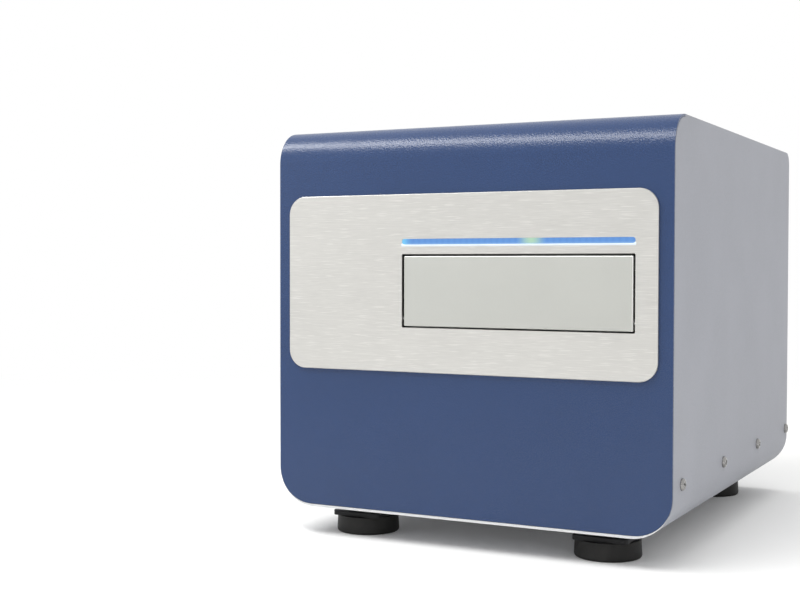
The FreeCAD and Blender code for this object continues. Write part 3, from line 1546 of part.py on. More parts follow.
def make_usb_socket():
    """The square data socket, with its flange, shell and tongue."""
    x, z = usb_side, under_z + usb_height
    face = rear_panel_y + usb_flange_thickness
    flange = rounded_block(x - usb_flange_width / 2, x + usb_flange_width / 2, rear_panel_y, face,
                           z - usb_flange_height / 2, z + usb_flange_height / 2, usb_back, "y")
    shell = box(x - usb_shell_width / 2, x + usb_shell_width / 2,
                rear_panel_y - usb_shell_depth, rear_panel_y,
                z - usb_shell_height / 2, z + usb_shell_height / 2)
    wall = usb_shell_wall + usb_lining
    half_x, half_z = usb_shell_width / 2 - wall, usb_shell_height / 2 - wall
    back = face - usb_shell_depth + usb_back
    cavity = box(x - half_x, x + half_x, back + 1, face + 1, z - half_z, z + half_z)
    tongue = box(x - usb_tongue_half_width, x + usb_tongue_half_width, back, face - usb_tongue_recess,
                 z - usb_tongue_half_height, z + usb_tongue_half_height)
    holes = [rod(frame_screw_radius + screw_hole_gap, (x + side * usb_screw_reach(), rear_panel_y - 1, z),
                 (x + side * usb_screw_reach(), face + 1, z)) for side in (-1, 1)]
    return fuse([fuse([flange, shell]).cut([cavity] + holes), tongue])


def make_usb_screws():
    """The data socket's two screws with their nuts."""
    screw = pan_screw(frame_screw_radius, usb_screw_length, usb_head_radius, usb_head_height)
    z = under_z + usb_height
    seat = rear_panel_y - rear_sheet
    screws = []
    for side in (-1, 1):
        x = usb_side + side * usb_screw_reach()
        nut = hexagon_rod(usb_nut_radius, (x, seat, z), (x, seat - usb_nut_height, z))
        screws.append(fuse([placed(screw, (x, rear_panel_y + usb_flange_thickness, z), (0, 1, 0)), nut]))
    return group(screws)


def make_power_supply():
    """The power supply: a slotted sheet cover over its board, with a terminal block."""
    x0, x1 = supply_left, supply_right
    y0, y1 = front_y + supply_front, front_y + supply_front + supply_length
    low, z1 = supply_z + supply_sheet, supply_z + supply_height
    case = rounded_block(x0, x1, y0, y1, supply_z, z1, supply_sheet, "y")
    inside = box(x0 + supply_sheet, x1 - supply_sheet, y0 + supply_sheet, y1 + 1, low, z1 - supply_sheet)
    slots = []
    for index in range(supply_slot_count):
        y = y0 + (index + 2) * supply_slot_pitch
        slots.append(box(x0 + supply_slot_edge, x1 - supply_slot_edge, y, y + supply_slot_width,
                         z1 - supply_sheet - 1, z1 + 1))
    block = box(x0 + terminal_inset, x1 - terminal_inset, y1 - 1 - terminal_depth, y1 - 1,
                low, low + terminal_height)
    core_y = y0 + transformer_inset
    core = box(x0 + transformer_side, x1 - can_side - can_radius - supply_sheet, core_y,
               core_y + transformer_length, low, low + transformer_height)
    cans = []
    for index in range(can_count):
        y = core_y + can_radius + index * can_pitch
        cans.append(rod(can_radius, (x1 - can_side, y, low), (x1 - can_side, y, low + can_height)))
    return fuse([case.cut([inside] + slots), block, core] + cans)


def board_parts(length, height):
    """What stands on a circuit board drawn flat: chips, connectors, capacitors and a heat sink."""
    chips = ((large_chip, 0.38, 0.42), (middle_chip, 0.64, 0.60), (small_chip, 0.64, 0.25))
    parts = []
    for size, along, up in chips:
        x, y = length * along, height * up
        parts.append(box(x, x + size, y, y + size, 0, chip_height))
    row_y = height - connector_depth - standoff_inset
    can_y = height * 0.2
    for index in range(board_row_count):
        x = connector_edge + index * connector_pitch
        parts.append(box(x, x + connector_length, row_y, row_y + connector_depth, 0, connector_height))
        x = connector_length + index * capacitor_pitch
        parts.append(rod(capacitor_radius, (x, can_y, 0), (x, can_y, capacitor_height)))
    sink_x, sink_y = length * 0.14, height * 0.42
    for index in range(sink_fin_count):
        x = sink_x + index * sink_pitch
        parts.append(box(x, x + sink_fin, sink_y, sink_y + sink_depth, 0, sink_height))
    sink_width = (sink_fin_count - 1) * sink_pitch + sink_fin
    parts.append(box(sink_x, sink_x + sink_width, sink_y, sink_y + sink_depth, 0, sink_fin))
    return parts


def circuit_board(length, height):
    """A circuit board drawn flat in XY, its parts on its upper face."""
    board = box(0, length, 0, height, -board_thickness, 0)
    return fuse([board] + board_parts(length, height))


def standoff_places(length, height):
    """The four corners where a board stands on its standoffs."""
    inset = standoff_inset
    return [(x, y) for x in (inset, length - inset) for y in (inset, height - inset)]


def board_standoffs(length, height):
    """Four hexagonal standoffs under a board drawn flat in XY."""
    low = -board_thickness - standoff_height
    return group([hexagon_rod(standoff_radius, (x, y, low), (x, y, -board_thickness))
                  for x, y in standoff_places(length, height)])


def on_left_frame(shape):
    """Stand a board drawn flat upright on the left frame's outer face, its parts outwards."""
    x = web_left - upright_sheet - standoff_height - board_thickness
    copy = shape.copy()
    turn = FreeCAD.Rotation(Vector(0, 1, 0), Vector(0, 0, 1), Vector(1, 0, 0), "XYZ")
    copy.Placement = FreeCAD.Placement(Vector(x, front_y + main_board_front, main_board_bottom), turn)
    return mirrored_x(copy, x)


def on_floor(shape):
    """Lay a board drawn flat on the base, in front of the optical head."""
    return moved(shape, port_offset - driver_board_width / 2, front_y + driver_board_front,
                 floor_z + standoff_height + board_thickness)


def make_standoffs():
    """The standoffs of both boards."""
    upright = on_left_frame(board_standoffs(main_board_length, main_board_height))
    flat = on_floor(board_standoffs(driver_board_width, driver_board_length))
    return group(upright.Solids + flat.Solids)


def main():
    """Build every piece and write each one to its own file."""
    nodes = {
        "lower_case": make_lower_case(),
        "upper_cover": make_upper_cover(),
        "rear_panel": make_rear_panel(),
        "front_plate": make_front_plate(),
        "plate_nuts": make_plate_nuts(),
        "port_frame": make_port_frame(),
        "door_leaf": make_door_leaf(),
        "door_pins": make_door_pins(),
        "door_sector_gear": make_door_sector(),
        "door_pinion": make_door_pinion(),
        "door_motor": make_door_motor(),
        "light_lens": make_light_lens(),
        "light_board": make_light_board(),
        "side_screws": group(make_side_screws(-1).Solids + make_side_screws(1).Solids),
        "rear_screws": make_rear_screws(),
        "feet": make_feet(),
        "foot_plates": make_foot_plates(),
        "foot_screws": make_foot_screws(),
        "base_plate": make_base_plate(),
        "left_upright": make_upright(-1),
        "right_upright": make_upright(1),
        "tray_rails": make_tray_rails(),
        "tray_blocks": make_tray_blocks(),
        "tray_carriage": make_tray_carriage(),
        "tray_arm": make_tray_arm(),
        "plate_tray": make_plate_tray(),
        "belt_clamp": make_belt_clamp(),
        "tray_belt": make_tray_belt(),
        "tray_motor": make_tray_motor(),
        "drive_pulley": make_drive_pulley(),
        "idler_pulley": make_idler_pulley(),
        "idler_axle": make_idler_axle(),
        "cross_beam": make_cross_beam(),
        "cross_rails": make_cross_rails(),
        "cross_motor": make_cross_motor(),
        "cross_screw": make_cross_screw(),
        "optics_blocks": make_optics_blocks(),
        "optics_bracket": make_optics_bracket(),
        "camera": make_camera(),
        "tube_lens": make_tube_lens(),
        "wheel_motor": make_wheel_motor(),
        "filter_wheel": make_filter_wheel(),
        "filters": make_filters(),
        "filter_cube": make_filter_cube(),
        "light_engine": make_light_engine(),
        "focus_motor": make_focus_motor(),
        "focus_screw": make_focus_screw(),
        "focus_carrier": make_focus_carrier(),
        "objective": make_objective(),
        "light_bridge": make_light_bridge(),
        "light_panel": group([make_light_panel(), make_light_diffuser()]),
        "power_supply": make_power_supply(),
        "main_board": on_left_frame(circuit_board(main_board_length, main_board_height)),
        "board_standoffs": make_standoffs(),
        "driver_board": on_floor(circuit_board(driver_board_width, driver_board_length)),
        "fan_frame": group([make_fan_frame()] + make_fan_screws().Solids),
        "fan_rotor": make_fan_rotor(),
        "power_inlet": make_power_inlet(),
        "power_rocker": make_power_rocker(),
        "usb_socket": group([make_usb_socket()] + make_usb_screws().Solids),
    }
    os.makedirs("parts", exist_ok=True)
    for name, shape in nodes.items():
        shape.exportStep(f"parts/{name}.step")


main()
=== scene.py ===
"""Looks of the automated cell counter: finishes, detailed pieces, studio and camera."""

import json
import logging
import math
from dataclasses import dataclass, field
from enum import Enum
from typing import Callable, Iterable, Iterator, Optional, Sequence, Union

import bmesh
import bpy
from mathutils import Matrix, Vector

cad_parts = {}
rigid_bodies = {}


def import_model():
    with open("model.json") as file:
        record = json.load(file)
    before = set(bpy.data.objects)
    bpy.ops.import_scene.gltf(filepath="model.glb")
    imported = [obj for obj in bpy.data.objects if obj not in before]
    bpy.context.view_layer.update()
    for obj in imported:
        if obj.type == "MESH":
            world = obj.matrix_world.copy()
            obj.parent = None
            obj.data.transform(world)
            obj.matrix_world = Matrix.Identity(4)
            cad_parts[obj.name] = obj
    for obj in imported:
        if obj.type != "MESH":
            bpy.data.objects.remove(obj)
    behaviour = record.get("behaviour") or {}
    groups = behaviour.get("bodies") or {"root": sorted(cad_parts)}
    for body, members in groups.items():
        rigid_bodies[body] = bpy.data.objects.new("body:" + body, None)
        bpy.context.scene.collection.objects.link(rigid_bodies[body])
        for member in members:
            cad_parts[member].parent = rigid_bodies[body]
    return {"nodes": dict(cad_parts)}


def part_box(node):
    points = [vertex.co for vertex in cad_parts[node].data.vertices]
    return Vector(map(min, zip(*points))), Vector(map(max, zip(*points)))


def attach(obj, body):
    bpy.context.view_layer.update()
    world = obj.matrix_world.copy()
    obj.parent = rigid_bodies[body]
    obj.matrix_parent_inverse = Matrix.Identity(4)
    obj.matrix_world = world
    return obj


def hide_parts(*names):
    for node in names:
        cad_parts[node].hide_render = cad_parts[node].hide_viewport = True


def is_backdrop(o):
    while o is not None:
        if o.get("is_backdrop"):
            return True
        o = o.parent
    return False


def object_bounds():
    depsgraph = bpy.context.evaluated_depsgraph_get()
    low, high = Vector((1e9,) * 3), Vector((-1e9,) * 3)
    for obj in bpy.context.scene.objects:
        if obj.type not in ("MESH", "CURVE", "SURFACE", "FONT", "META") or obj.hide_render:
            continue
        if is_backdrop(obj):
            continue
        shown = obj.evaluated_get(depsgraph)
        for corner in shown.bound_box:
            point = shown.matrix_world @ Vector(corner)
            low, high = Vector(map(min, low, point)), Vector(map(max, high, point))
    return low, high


for leftover in list(bpy.data.objects):
    bpy.data.objects.remove(leftover)
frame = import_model()
CAD_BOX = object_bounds()
SLOTS = {name: obj.material_slots[0].material.name.split(".")[0]
         for name, obj in frame["nodes"].items()}
BODIES = {name: obj.parent.name.split(":")[1] for name, obj in frame["nodes"].items()}

MM = 0.001
MERGE = 0.002 * MM
SLACK = 0.01 * MM
SHARP = 35.0
ROOT = "root"
WHITE = (1.0, 1.0, 1.0, 1.0)
LOG = logging.getLogger("cell_counter")

Colour = tuple[float, float, float]
Pair = tuple[float, float]
Point = Sequence[float]
Grain = Union[float, Colour]
Box = tuple[Vector, Vector]
Test = Callable[[Vector, Vector], bool]
Shape = Callable[[float, float, float], Pair]


def tone(red: float, green: float, blue: float) -> Colour:
    """Turn a screen colour, from 0 to 255, into the linear values that shaders take."""
    shares = [level / 255 for level in (red, green, blue)]
    return tuple(s / 12.92 if s <= 0.04045 else ((s + 0.055) / 1.055) ** 2.4 for s in shares)


def shade(colour: Colour, factor: float) -> Colour:
    """Lighten or darken a linear colour by a factor."""
    return tuple(min(1.0, channel * factor) for channel in colour)


def operator(operation: str, swapped: bool = False) -> Callable[["Wire", "Term"], "Wire"]:
    """Make a method of Wire from the name of a sum.

    Args:
        operation: The name of the sum.
        swapped: Whether the wire is its second value.

    Returns:
        The method.
    """
    def method(self: "Wire", other: "Term" = 0.0) -> "Wire":
        """Join the wire and another value with the sum."""
        return self.graph.maths(operation, *((other, self) if swapped else (self, other)))

    return method


class Wire:
    """A node's output socket that takes part in sums."""

    __add__, __radd__ = operator("ADD"), operator("ADD", True)
    __sub__, __rsub__ = operator("SUBTRACT"), operator("SUBTRACT", True)
    __mul__, __rmul__ = operator("MULTIPLY"), operator("MULTIPLY", True)
    __truediv__, __rtruediv__ = operator("DIVIDE"), operator("DIVIDE", True)
    __pow__, __mod__ = operator("POWER"), operator("FLOORED_MODULO")
    __gt__, __lt__ = operator("GREATER_THAN"), operator("LESS_THAN")
    __abs__, largest = operator("ABSOLUTE"), operator("MAXIMUM")

    def __init__(self, graph: "Graph", socket: bpy.types.NodeSocket) -> None:
        """Keep the socket and the tree that it belongs to."""
        self.graph, self.socket = graph, socket

    def axis(self, name: str) -> "Wire":
        """Take one part of a vector: X, Y or Z."""
        return self.graph.node("ShaderNodeSeparateXYZ", inputs={"Vector": self}, output=name)


Term = Union[Wire, float, int]


class Graph:
    """Builds the nodes of one tree."""

    def __init__(self, tree: bpy.types.NodeTree) -> None:
        """Start an empty tree."""
        self.tree = tree
        self.tree.nodes.clear()

    @staticmethod
    def find(sockets: Iterable, key: Union[str, int]) -> bpy.types.NodeSocket:
        """Find a socket by its place, identifier or name.

        Args:
            sockets: The node's inputs or outputs.
            key: The place, identifier or name.

        Returns:
            The first socket that is in use and fits.
        """
        if isinstance(key, int):
            return sockets[key]
        fitting = [socket for socket in sockets if key in (socket.identifier, socket.name)]
        return next((socket for socket in fitting if socket.enabled), fitting[0])

    def node(self, kind: str, settings: Optional[dict] = None, inputs: Optional[dict] = None,
             output: Union[str, int] = 0) -> Optional[Wire]:
        """Make one node.

        Args:
            kind: The node's type.
            settings: Its properties, set first.
            inputs: Values or wires for its sockets.
            output: Which output to return.

        Returns:
            That output as a wire, or None for a node that has none.
        """
        made = self.tree.nodes.new(kind)
        for name, value in (settings or {}).items():
            setattr(made, name, value)
        for key, value in (inputs or {}).items():
            socket = self.find(made.inputs, key)
            if isinstance(value, Wire):
                self.tree.links.new(value.socket, socket)
            else:
                socket.default_value = value
        return Wire(self, self.find(made.outputs, output)) if len(made.outputs) else None

    def maths(self, operation: str, first: Term, second: Term) -> Wire:
        """Join two values with a sum, for vectors part by part.

        Args:
            operation: The name of the sum.
            first: Its first value.
            second: Its second value.

        Returns:
            The result.
        """
        vector = any(isinstance(term, Wire) and term.socket.type == "VECTOR"
                     for term in (first, second))
        kind = "ShaderNodeVectorMath" if vector else "ShaderNodeMath"
        return self.node(kind, {"operation": operation}, {0: first, 1: second})


class Shader(Graph):
    """Builds one material round a Principled surface, from Object coordinates."""

    def __init__(self, name: str) -> None:
        """Start an empty material with the place on the object as its first wire.

        Args:
            name: The material's name.
        """
        self.material = bpy.data.materials.new(name)
        self.material.use_nodes = True
        super().__init__(self.material.node_tree)
        self.place = self.node("ShaderNodeTexCoord", output="Object")

    def stretched(self, grain: Grain) -> Wire:
        """Scale the place so that a texture of scale 1 has grains of a size, in metres."""
        lengths = grain if isinstance(grain, tuple) else (grain, grain, grain)
        return self.maths("MULTIPLY", self.place, tuple(1 / length for length in lengths))

    def noise(self, grain: Grain, detail: float = 2.0, rough: float = 0.5,
              seed: float = 0.0) -> Wire:
        """A cloudy texture.

        Args:
            grain: The size of its grains in metres, one number or one for each axis.
            detail: How many finer layers it has.
            rough: How strong they are.
            seed: A shift that makes another pattern.

        Returns:
            A value round 0.5.
        """
        spot = self.stretched(grain) + (seed, seed, seed)
        inputs = {"Vector": spot, "Scale": 1.0, "Detail": detail, "Roughness": rough}
        return self.node("ShaderNodeTexNoise", {"noise_dimensions": "3D"}, inputs, "Fac")

    def cells(self, grain: Grain, output: str = "Distance") -> Wire:
        """A texture of cells of a size in metres, as Distance or Color."""
        inputs = {"Vector": self.stretched(grain), "Scale": 1.0}
        return self.node("ShaderNodeTexVoronoi", {"feature": "F1"}, inputs, output)

    def spread(self, value: Wire, low: float, high: float, start: float = 0.0,
               end: float = 1.0) -> Wire:
        """Map a value from one range to another, held at its ends.

        Args:
            value: The value.
            low: Where its range begins.
            high: Where its range ends.
            start: What low becomes.
            end: What high becomes.

        Returns:
            The mapped value.
        """
        inputs = {"Value": value, "From Min": low, "From Max": high, "To Min": start, "To Max": end}
        return self.node("ShaderNodeMapRange", {"clamp": True, "interpolation_type": "SMOOTHSTEP"},
                         inputs, "Result")

    def mix(self, share: Term, first: Union[Wire, Colour], second: Union[Wire, Colour],
            blend: str = "MIX") -> Wire:
        """Mix two colours.

        Args:
            share: How much of the second there is.
            first: The first colour.
            second: The second colour.
            blend: How they are mixed.

        Returns:
            The mixed colour.
        """
        first, second = [value if isinstance(value, Wire) else (*value, 1.0)
                         for value in (first, second)]
        return self.node("ShaderNodeMix", {"data_type": "RGBA", "blend_type": blend},
                         {"Factor_Float": share, "A_Color": first, "B_Color": second},
                         "Result_Color")

    def bump(self, height: Wire, relief: float) -> Wire:
        """Turn a height from 0 to 1 into a normal, where 1 stands up by relief in metres."""
        inputs = {"Height": height, "Distance": relief, "Strength": 1.0}
        return self.node("ShaderNodeBump", {}, inputs, "Normal")

    def surface(self, **inputs: object) -> bpy.types.Material:
        """Close the material with a Principled surface.

        Args:
            **inputs: The shader's sockets, with underscores for spaces; colours have three parts.

        Returns:
            The material.
        """
        values = {}
        for key, value in inputs.items():
            colour = isinstance(value, tuple) and len(value) == 3
            values[key.replace("_", " ")] = (*value, 1.0) if colour else value
        surface = self.node("ShaderNodeBsdfPrincipled", {}, values)
        self.node("ShaderNodeOutputMaterial", {}, {"Surface": surface})
        return self.material


@dataclass(frozen=True)
class Finish:
    """What all finishes share: a colour, a roughness and slight changes in both."""

    colour: Colour
    roughness: float = 0.5

    def make(self, name: str) -> bpy.types.Material:
        """Make the material under a name."""
        shader = Shader(name)
        return shader.surface(**self.dress(shader))

    def dress(self, shader: Shader) -> dict:
        """Work out the surface.

        Args:
            shader: The material's builder.

        Returns:
            The values and wires for the shader's sockets; see Shader.surface.
        """
        raise NotImplementedError

    def varied(self, shader: Shader, value: Wire, amount: float) -> Wire:
        """Vary the colour with a texture round 0.5, up to a share of itself each way."""
        return shader.mix(shader.spread(value, 0.25, 0.75), shade(self.colour, 1 - amount),
                          shade(self.colour, 1 + amount))

    def worn(self, shader: Shader, value: Wire, less: float, more: float) -> Wire:
        """Vary the roughness with a texture round 0.5, from less below it to more above it."""
        return shader.spread(value, 0.3, 0.7, self.roughness - less, self.roughness + more)


@dataclass(frozen=True)
class PowderCoat(Finish):
    """Baked powder coat with an orange-peel grain."""

    grain: float = 1.3 * MM
    relief: float = 0.05 * MM
    mottle: float = 60 * MM

    def dress(self, shader: Shader) -> dict:
        """Work out the surface; see Finish."""
        peel = shader.noise(self.grain, 1.0)
        fine = shader.noise(self.grain * 0.42, 1.0, seed=3.0)
        cloud = shader.noise(self.mottle, seed=7.0)
        height = shader.spread(peel, 0.3, 0.7) * 0.75 + fine * 0.25
        base = shader.mix(shader.spread(peel, 0.35, 0.75, 0.0, 0.5),
                          self.varied(shader, cloud, 0.03), shade(self.colour, 1.12))
        return dict(Base_Color=base, Roughness=self.worn(shader, fine, 0.05, 0.06),
                    Specular_IOR_Level=0.42, Normal=shader.bump(height, self.relief))


@dataclass(frozen=True)
class Brushed(Finish):
    """Metal brushed one way, with short streaks and a few paler dashes."""

    streak: Colour = (9 * MM, 0.25 * MM, 0.16 * MM)
    dash: Colour = (16 * MM, 1.0 * MM, 0.8 * MM)
    mottle: float = 70 * MM
    relief: float = 0.008 * MM
    contrast: float = 0.06

    def glow(self, shader: Shader) -> dict:
        """The sockets of the painted glow that the surface gives off, for a finish that has any."""
        return {}

    def dress(self, shader: Shader) -> dict:
        """Work out the surface; see Finish."""
        fine = shader.noise(self.streak, rough=0.6)
        long = shader.noise(tuple(part * 3.1 for part in self.streak), seed=5.0)
        cloud = shader.noise(self.mottle, seed=9.0)
        streaks = fine * 0.6 + long * 0.4
        dashes = shader.spread(shader.noise(self.dash, 1.0, seed=12.0), 0.56, 0.74)
        base = shader.mix(shader.spread(cloud, 0.3, 0.7, 0.0, 0.35),
                          self.varied(shader, streaks, self.contrast), shade(self.colour, 0.95))
        base = shader.mix(dashes * 0.5, base, shade(self.colour, 1.25))
        return dict(Base_Color=base, Metallic=1.0, Roughness=self.worn(shader, streaks, 0.07, 0.08),
                    Normal=shader.bump(streaks, self.relief), **self.glow(shader))


@dataclass(frozen=True)
class Bar:
    """Where the lit bar lies in the front plate, in metres: its ends, middle and half height."""

    left: float = -52.1 * MM
    right: float = 141.9 * MM
    middle: float = 245.8 * MM
    half: float = 2.3 * MM


@dataclass(frozen=True)
class PlateWithPaintedGlow(Brushed):
    """Brushed metal round the lit bar, with the bar's spilt light painted onto it as a glow, most
    of it below.
    """

    bar: Bar = Bar()
    reach: float = 2.2 * MM

    def glow(self, shader: Shader) -> dict:
        """The sockets of the painted glow of spilt light; see Brushed."""
        # Painted light: the plate glows just below the bar and round its ends, as if the bar lit
        # it.
        along, up = shader.place.axis("X"), shader.place.axis("Z")
        past = (self.bar.left - along).largest(along - self.bar.right).largest(0.0) * 3.0
        drop = (self.bar.middle - self.bar.half - up).largest(0.0)
        rise = (up - self.bar.middle + self.bar.half * 0.7).largest(0.0) * 6.0
        away = (past * past + drop * drop + rise * rise) ** 0.5
        near = shader.spread(away, 0.0, self.reach, 1.0, 0.0)
        light = shader.mix(near, (0.0, 0.0, 0.0), tone(150, 176, 205))
        return dict(Emission_Color=light, Emission_Strength=1.0)


@dataclass(frozen=True)
class Metal(Finish):
    """Bare, plated or anodised metal with the fine marks of its making; spangle is zinc's."""

    grain: float = 0.5 * MM
    relief: float = 0.006 * MM
    spangle: float = 0.0
    metallic: float = 1.0
    mottle: float = 25 * MM

    def dress(self, shader: Shader) -> dict:
        """Work out the surface; see Finish."""
        fine = shader.noise(self.grain, rough=0.6)
        cloud = shader.noise(self.mottle, 3.0, seed=4.0)
        base = self.varied(shader, cloud, 0.05)
        rough = shader.spread(fine * 0.5 + cloud * 0.5, 0.35, 0.65,
                              self.roughness * 0.8, self.roughness * 1.2)
        if self.spangle:
            flake = shader.cells(self.spangle, "Color")
            base = shader.mix(0.14, base, flake, "SOFT_LIGHT")
            rough = rough + (flake.axis("X") - 0.5) * 0.12
        return dict(Base_Color=base, Metallic=self.metallic, Roughness=rough,
                    Normal=shader.bump(fine, self.relief))


@dataclass(frozen=True)
class Moulded(Finish):
    """Moulded plastic or rubber with a fine eroded texture, and dust where dust is above 0."""

    grain: float = 0.35 * MM
    relief: float = 0.02 * MM
    dust: float = 0.0
    shine: float = 0.5
    mottle: float = 18 * MM

    def dress(self, shader: Shader) -> dict:
        """Work out the surface; see Finish."""
        fine = shader.noise(self.grain, 1.0)
        cloud = shader.noise(self.mottle, 3.0, 0.6, 2.0)
        base = self.varied(shader, cloud, 0.06)
        if self.dust:
            base = shader.mix(shader.spread(cloud, 0.45, 0.75, 0.0, self.dust), base,
                              (0.32, 0.31, 0.3))
        return dict(Base_Color=base, Roughness=self.worn(shader, cloud, 0.05, 0.07),
                    Specular_IOR_Level=self.shine, Normal=shader.bump(fine, self.relief))


@dataclass(frozen=True)
class SatinPaint(Finish):
    """Smooth satin paint with a very fine metal fleck."""

    fleck: float = 0.4 * MM
    relief: float = 0.004 * MM
    metallic: float = 0.25
    shine: float = 0.5
    mottle: float = 50 * MM

    def dress(self, shader: Shader) -> dict:
        """Work out the surface; see Finish."""
        fleck = shader.noise(self.fleck, 1.0)
        cloud = shader.noise(self.mottle, seed=3.0)
        base = shader.mix(shader.spread(fleck, 0.3, 0.8, 0.0, 0.5),
                          self.varied(shader, cloud, 0.015), shade(self.colour, 1.05))
        return dict(Base_Color=base, Metallic=self.metallic,
                    Roughness=self.worn(shader, fleck, 0.03, 0.03),
                    Specular_IOR_Level=self.shine, Normal=shader.bump(fleck, self.relief))


@dataclass(frozen=True)
class GlowBar(Finish):
    """A clear bar lit from behind by a row of lamps, blue with one green spot."""

    bar: Bar = Bar()
    lamp_pitch: float = 5.2 * MM
    spot: float = 59.5 * MM
    spot_reach: float = 13 * MM
    tip_reach: float = 9 * MM

    def dress(self, shader: Shader) -> dict:
        """Work out the surface; see Finish."""
        along, up = shader.place.axis("X"), shader.place.axis("Z")
        start = along - self.bar.left
        lamps = abs(start / self.lamp_pitch % 1.0 - 0.5)
        glow = shader.mix(shader.spread(lamps, 0.1, 0.5, 0.0, 0.3), tone(86, 132, 190),
                          tone(70, 112, 178))
        green = shader.spread(abs(along - self.spot), 0.0, self.spot_reach, 1.0, 0.0)
        rim = shader.spread(self.bar.middle - up, self.bar.half * 0.2, self.bar.half)
        tip = shader.spread(start, 0.0, self.tip_reach, 1.0, 0.0)
        for share, colour in ((green, tone(172, 204, 150)), (rim * 0.45, tone(150, 186, 214)),
                              (tip * 0.7, tone(120, 210, 236))):
            glow = shader.mix(share, glow, colour)
        return dict(Base_Color=self.colour, Roughness=self.roughness, Specular_IOR_Level=0.3,
                    Emission_Color=glow, Emission_Strength=1.0)


@dataclass(frozen=True)
class CircuitBoard(Finish):
    """Solder mask over copper tracks, with plated holes."""

    track: float = 1.4 * MM
    zone: float = 9 * MM
    block: float = 11 * MM
    hole: float = 4.2 * MM
    relief: float = 0.02 * MM

    def dress(self, shader: Shader) -> dict:
        """Work out the surface; see Finish."""
        blocks = shader.cells(self.block, "Color").axis("X") > 0.5
        rows = [shader.place.axis(name) / self.track % 1.0 < 0.42 for name in "YZ"]
        tracks = rows[0] * blocks + rows[1] * (1.0 - blocks)
        copper = tracks * (shader.noise(self.zone, 0.0, seed=6.0) > 0.46)
        holes = shader.cells(self.hole) < 0.16
        base = shader.mix(copper * 0.5, self.colour, shade(self.colour, 2.2))
        base = shader.mix(holes * 0.9, base, (0.62, 0.5, 0.26))
        return dict(Base_Color=base, Roughness=self.roughness, Metallic=holes * 0.9,
                    Coat_Weight=0.4, Coat_Roughness=0.2, Normal=shader.bump(copper, self.relief))


@dataclass(frozen=True)
class ColouredGlass(Finish):
    """Coated filter glass."""

    roughness: float = 0.08
    sheen: Colour = (0.65, 0.25, 0.45)
    mottle: float = 16 * MM

    def dress(self, shader: Shader) -> dict:
        """Work out the surface; see Finish."""
        cloud = shader.noise(self.mottle, 0.0, seed=8.0)
        base = shader.mix(shader.spread(cloud, 0.4, 0.6), self.colour, self.sheen)
        return dict(Base_Color=base, Roughness=self.roughness, Transmission_Weight=0.6,
                    Coat_Weight=0.6, Coat_Roughness=0.05)


class Palette(Enum):
    """The finish of each material slot in the record, and a few finer ones."""

    blue_paint = PowderCoat(tone(36, 58, 97), 0.26, 1.25 * MM, 0.09 * MM)
    grey_paint = PowderCoat(tone(157, 159, 167), 0.5, 1.1 * MM, 0.03 * MM)
    # The wrap's front edge: a paler grey, partly for a bare edge and partly a painted highlight of
    # light bounced from the floor.
    strip_paint = PowderCoat(tone(206, 207, 208), 0.5, 1.1 * MM, 0.03 * MM)
    # The brushed plate carries a painted glow from the lit bar.
    brushed_aluminium = PlateWithPaintedGlow((0.6, 0.592, 0.566), 0.38, contrast=0.1)
    silver_plastic = SatinPaint(tone(179, 180, 175), 0.4)
    # Painted highlight: a near-white copy of the door's paint, for its edges that face the light.
    silver_edge = SatinPaint(tone(240, 241, 238), 0.35)
    grey_plastic = Moulded((0.24, 0.235, 0.22))
    black_plastic = Moulded((0.018, 0.018, 0.02))
    white_plastic = Moulded(tone(226, 226, 218), 0.42)
    opal_plastic = Moulded(tone(236, 238, 240), 0.35, relief=0.004 * MM)
    lit_lens = GlowBar((0.03, 0.07, 0.16), 0.3)
    green_board = CircuitBoard((0.02, 0.11, 0.05), 0.4)
    black_rubber = Moulded((0.013, 0.0125, 0.012), 0.62, 0.8 * MM, 0.03 * MM, dust=0.03, shine=0.3)
    black_belt = Moulded((0.02, 0.02, 0.021), 0.6, 0.5 * MM, 0.04 * MM)
    black_paint = SatinPaint((0.008, 0.008, 0.009), 0.42, metallic=0.0, shine=0.2)
    black_anodised = Metal((0.035, 0.035, 0.038), 0.38, 0.4 * MM, metallic=0.7)
    aluminium_sheet = Metal((0.74, 0.75, 0.76), 0.36, 0.3 * MM)
    zinc_sheet = Metal((0.62, 0.64, 0.66), 0.38, 0.6 * MM, spangle=7 * MM)
    zinc_steel = Metal((0.66, 0.66, 0.64), 0.3, 0.4 * MM)
    steel = Metal((0.56, 0.56, 0.57), 0.24, 0.25 * MM)
    stainless = Metal((0.3, 0.295, 0.29), 0.2, 0.3 * MM)
    brass = Metal((0.74, 0.58, 0.28), 0.28, 0.4 * MM)
    filter_glass = ColouredGlass((0.3, 0.6, 0.5))
    blue_glass = ColouredGlass((0.12, 0.25, 0.72))
    amber_glass = ColouredGlass((0.75, 0.42, 0.1))
    red_glass = ColouredGlass((0.62, 0.1, 0.09))
    violet_glass = ColouredGlass((0.36, 0.14, 0.6))
    lens_glass = Moulded((0.02, 0.03, 0.05), 0.06, relief=0.0)
    seal_felt = Moulded((0.3, 0.295, 0.275), 0.9, 0.5 * MM, 0.1 * MM)
    copper_tape = Moulded((0.62, 0.4, 0.1), 0.4)

    @property
    def material(self) -> bpy.types.Material:
        """The finish as a material, made once."""
        name = f"finish_{self.name}"
        return bpy.data.materials.get(name) or self.value.make(name)


def scaled(points: Iterable[Pair], base: float = 0.0) -> list[Pair]:
    """Turn radius and height pairs from millimetres into metres, the heights above a base."""
    return [(radius * MM, base + height * MM) for radius, height in points]


def merged(node: str) -> bmesh.types.BMesh:
    """Copy a node's mesh, which is loose triangles, and join them.

    Args:
        node: The node's name.

    Returns:
        The joined copy.
    """
    mesh = bmesh.new()
    mesh.from_mesh(frame["nodes"][node].data)
    bmesh.ops.remove_doubles(mesh, verts=mesh.verts, dist=MERGE)
    return mesh


